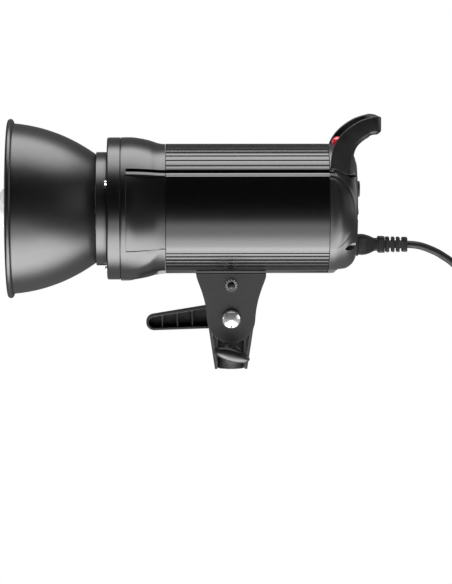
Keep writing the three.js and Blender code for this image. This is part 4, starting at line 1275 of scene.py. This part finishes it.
def cross_pin():
    corners = [(-26.4, 0, 0), (-25.9, 2.6, 1.2), (-24, 3.7, 0.8), (-22.6, 3.7, 0)]
    head = rounded(corners, closed=False)
    tail = [(-y, r) for y, r in reversed(head)]
    profile = head + [(-22.5, 2.4), (22.5, 2.4)] + tail
    turned("cross_pin_turned", profile, "pin", HEAD, "cross_pin", 40, place=place_y, z=PIN_Z)
    # The washer's rings: y, then the radius and lift of its teeth and of the gaps between.
    columns = 56
    rings = []
    for y, tooth, gap in (
        (-21.3, (6.6, 0.0), (5.2, 0.0)),
        (-22.1, (6.6, 0.25), (5.2, 0.0)),
        (-22.1, (2.8, 0.0), (2.8, 0.0)),
        (-21.3, (2.8, 0.0), (2.8, 0.0)),
    ):
        ring = []
        for k in range(columns):
            radius, lift = tooth if k % 4 < 2 else gap
            ring.append(place_y(y - lift, radius, TAU * k / columns, z=PIN_Z))
        rings.append(ring)
    vertices, faces = loft(rings, closed_path=True)
    piece("toothed_washer_stamped", vertices, faces, "black_steel", HEAD, "toothed_washer", sharp=30)


def lock_knob():
    """An oval wing with a thin rim, domed on its outer face, on a round neck."""
    half_long, half_short, tilt = 18.5, 7.2, math.radians(16)
    sine, cosine = math.sin(tilt), math.cos(tilt)
    rings = []
    for y, scale in (
        (-33.5, 0.55),
        (-34.5, 0.86),
        (-36.5, 0.985),
        (-37.4, 1.0),
        (-38.4, 0.985),
        (-40.2, 0.9),
        (-41.8, 0.72),
        (-42.8, 0.45),
        (-43.2, 0.15),
    ):
        ring = []
        for k in range(72):
            angle = TAU * k / 72
            a, b = half_long * scale * math.cos(angle), half_short * scale * math.sin(angle)
            ring.append((a * cosine + b * sine, y, KNOB_Z - a * sine + b * cosine))
        rings.append(ring)
    corners = [(-36, 0, 0), (-36, 6.2, 0), (-26.5, 6.0, 1.0), (-24.5, 5.2, 0.5), (-24.5, 0, 0)]
    neck = lathe(rounded(corners, closed=False), 40, place_y, z=KNOB_Z)
    vertices, faces = merge([loft(rings), neck])
    piece("lock_knob_wing", vertices, faces, "knob", "lock_knob_body", "lock_knob", sharp=50)


# Nodes that keep the CAD's shape: their material, and their edges' rounding and its steps.
CAD_SHAPES = {
    "control_panel": ("grip", (0.35, 2)),
    "display_window": ("display", (0.3, 2)),
    "rocker_bezel": ("rubber", (0.5, 2)),
    "power_rocker": ("rubber", (0.6, 3)),
    "mains_inlet": ("rubber", (0.3, 2)),
    "lamp_socket": ("ceramic", (0.8, 3)),
    "tilt_bracket": ("bracket", (0.5, 3)),
    "stand_socket": ("socket", (0.6, 3)),
    "tilt_lever": ("grip", (0.5, 3)),
    "lever_nut": ("steel", (0.4, 2)),
    "lock_screw": ("steel", (0.3, 2)),
    "friction_washer_near": ("steel", (0.2, 2)),
    "friction_washer_far": ("steel", (0.2, 2)),
    "bracket_screw_1": ("steel", (0.4, 2)),
    "bracket_screw_2": ("steel", (0.4, 2)),
    "bracket_screw_3": ("steel", (0.4, 2)),
    "bracket_screw_4": ("steel", (0.4, 2)),
    "carrier_plate": ("aluminium", (0.3, 2)),
    "capacitor_near": ("sleeve", (0.8, 3)),
    "capacitor_far": ("sleeve", (0.8, 3)),
    "charger_board": ("board", (0.2, 1)),
    "transformer": ("winding", (0.6, 2)),
    "fan_frame": ("rubber", (0.5, 2)),
    "fan_rotor": ("grip", (0.4, 2)),
}


# ---------------------------------------------------------------- studio
def softbox(name, centre, size, upward, radiance, across, along):
    """A level rectangular light with soft edges.

    across gives the two rises and two falls of its brightness over its depth in Y, along over
    its length in X, both as shares of the size."""
    light = bpy.data.lights.new(name, "AREA")
    light.shape = "RECTANGLE"
    light.size, light.size_y = size
    light.energy = radiance * math.pi * size[0] * size[1]
    light.use_nodes = True
    tree = light.node_tree
    emission = next(node for node in tree.nodes if node.type == "EMISSION")
    geometry = tree.nodes.new("ShaderNodeNewGeometry")
    split = tree.nodes.new("ShaderNodeSeparateXYZ")
    tree.links.new(geometry.outputs["Parametric"], split.inputs[0])
    factors = []
    for axis, (start, full, fall, end) in (("X", along), ("Y", across)):
        for low, high, first, last in ((start, full, 0.0, 1.0), (fall, end, 1.0, 0.0)):
            factors.append(smooth_step(tree, split.outputs[axis], low, high, first, last))
    strength = factors[0]
    for factor in factors[1:]:
        strength = world_math(tree, "MULTIPLY", strength, factor)
    tree.links.new(strength, emission.inputs["Strength"])
    obj = bpy.data.objects.new(name, light)
    bpy.context.scene.collection.objects.link(obj)
    obj.location = centre
    obj.rotation_euler = (math.pi, 0, 0) if upward else (0, 0, 0)
    obj.visible_camera = False


def world_math(tree, operation, first, second=None):
    node = tree.nodes.new("ShaderNodeMath")
    node.operation = operation
    tree.links.new(first, node.inputs[0])
    if second:
        tree.links.new(second, node.inputs[1])
    return node.outputs[0]


def smooth_step(tree, value, low, high, first, last):
    ramp = tree.nodes.new("ShaderNodeMapRange")
    ramp.interpolation_type = "SMOOTHSTEP"
    for key, number in (("From Min", low), ("From Max", high), ("To Min", first), ("To Max", last)):
        ramp.inputs[key].default_value = number
    tree.links.new(value, ramp.inputs["Value"])
    return ramp.outputs["Result"]


def studio_floor():
    """A pale floor well below the lamp, plain white to the camera."""
    floor_mesh = bpy.data.meshes.new("floor")
    size, drop = 30.0, -1.25
    corners = [(-size, -size, drop), (size, -size, drop), (size, size, drop), (-size, size, drop)]
    floor_mesh.from_pydata(corners, [], [(0, 1, 2, 3)])
    n = Nodes("floor_paint")
    diffuse = n.add("ShaderNodeBsdfDiffuse")
    diffuse.inputs["Color"].default_value = rgb(0.75)
    glow = n.add("ShaderNodeEmission")
    glow.inputs["Color"].default_value = rgb(1.0)
    glow.inputs["Strength"].default_value = 1.0
    path = n.add("ShaderNodeLightPath")
    mix = n.add("ShaderNodeMixShader")
    n.link(path.outputs["Is Camera Ray"], mix.inputs[0])
    n.link(diffuse.outputs[0], mix.inputs[1])
    n.link(glow.outputs[0], mix.inputs[2])
    n.link(mix.outputs[0], n.output.inputs["Surface"])
    floor_mesh.materials.append(n.material)
    floor = bpy.data.objects.new("floor", floor_mesh)
    bpy.context.scene.collection.objects.link(floor)


FRONT_FILL = 0.01
BACKDROP_FILL = 0.25
SIDE_STRIP = 1.6
FRONT_STRIP = 1.0


def studio_world():
    """White to the camera; a soft backdrop and low strips of light to everything else."""
    world = bpy.data.worlds.new("studio")
    bpy.context.scene.world = world
    world.use_nodes = True
    tree = world.node_tree
    tree.nodes.clear()
    output = tree.nodes.new("ShaderNodeOutputWorld")
    seen = tree.nodes.new("ShaderNodeBackground")
    seen.inputs["Color"].default_value = rgb(1.0)
    lit = tree.nodes.new("ShaderNodeBackground")
    coordinates = tree.nodes.new("ShaderNodeTexCoord")
    split = tree.nodes.new("ShaderNodeSeparateXYZ")
    tree.links.new(coordinates.outputs["Generated"], split.inputs["Vector"])
    fade = smooth_step(tree, split.outputs["Y"], -0.25, 0.5, FRONT_FILL, BACKDROP_FILL)
    # Soft strips at both ends, a little behind the lamp, draw its outline.
    strip = world_math(tree, "ABSOLUTE", split.outputs["X"])
    strip = smooth_step(tree, strip, 0.72, 0.95, 0.0, SIDE_STRIP)
    behind = smooth_step(tree, split.outputs["Y"], -0.35, -0.1, 0.0, 1.0)
    level = smooth_step(tree, world_math(tree, "ABSOLUTE", split.outputs["Z"]), 0.35, 0.6, 1.0, 0.0)
    strip = world_math(tree, "MULTIPLY", strip, behind)
    strip = world_math(tree, "MULTIPLY", strip, level)
    # A fainter one in front of the rear end only.
    facing = smooth_step(tree, split.outputs["X"], 0.6, 0.85, 0.0, FRONT_STRIP)
    facing = world_math(tree, "MULTIPLY", facing, level)
    strip = world_math(tree, "ADD", facing, strip)
    total = world_math(tree, "ADD", fade, strip)
    tree.links.new(total, lit.inputs["Strength"])
    path = tree.nodes.new("ShaderNodeLightPath")
    mix = tree.nodes.new("ShaderNodeMixShader")
    tree.links.new(path.outputs["Is Camera Ray"], mix.inputs[0])
    tree.links.new(lit.outputs[0], mix.inputs[1])
    tree.links.new(seen.outputs[0], mix.inputs[2])
    tree.links.new(mix.outputs[0], output.inputs["Surface"])


def studio_lights():
    over, under = (0.0, 0.3, 0.7, 1.0), (0.0, 0.25, 0.75, 1.0)
    for name, centre, size, upward, radiance, across, along in (
        ("overhead_softbox", (0, 0, 1.3), (2.0, 1.6), False, 7.6, (0.0, 0.44, 0.72, 0.95), over),
        ("floor_bounce", (0, -1.0, -0.95), (2.6, 2.6), True, 11.5, (0.0, 0.22, 0.42, 0.98), under),
        ("floor_spill", (0, -3.2, -0.95), (2.6, 3.4), True, 3.4, (0.0, 0.3, 0.35, 1.0), under),
    ):
        softbox(name, centre, size, upward, radiance, across, along)


def camera():
    """Looks at the near side from a little above and to the left."""
    data = bpy.data.cameras.new("camera")
    target = Vector((-0.0048, 0, 0.0761))
    location = Vector((-0.0752, -3.1, 0.3478))
    sensor, seen_height = 36, 0.5848
    data.sensor_width = sensor
    data.lens = sensor * (target - location).length / seen_height
    data.clip_start, data.clip_end = 0.05, 100
    obj = bpy.data.objects.new("camera", data)
    bpy.context.scene.collection.objects.link(obj)
    obj.location = location
    obj.rotation_mode = "QUATERNION"
    obj.rotation_quaternion = (target - location).to_track_quat("-Z", "Y")
    bpy.context.scene.camera = obj


def main():
    reflector_bowl()
    bayonet_collar()
    front_ring()
    mount_pins()
    front_bell()
    body_tube()
    rear_shell()
    rear_screws()
    handle()
    slave_sensor()
    panel_controls()
    mains_plug()
    strain_relief()
    mains_lead()
    lamp()
    flash_tube()
    pivot_bolt()
    cross_pin()
    lock_knob()
    for node, (material, bevel) in CAD_SHAPES.items():
        from_node(node, material, bevel)
    studio_floor()
    studio_world()
    studio_lights()
    camera()
    scene = bpy.context.scene
    scene.view_settings.view_transform = "Standard"
    scene.view_settings.look = "None"


main()
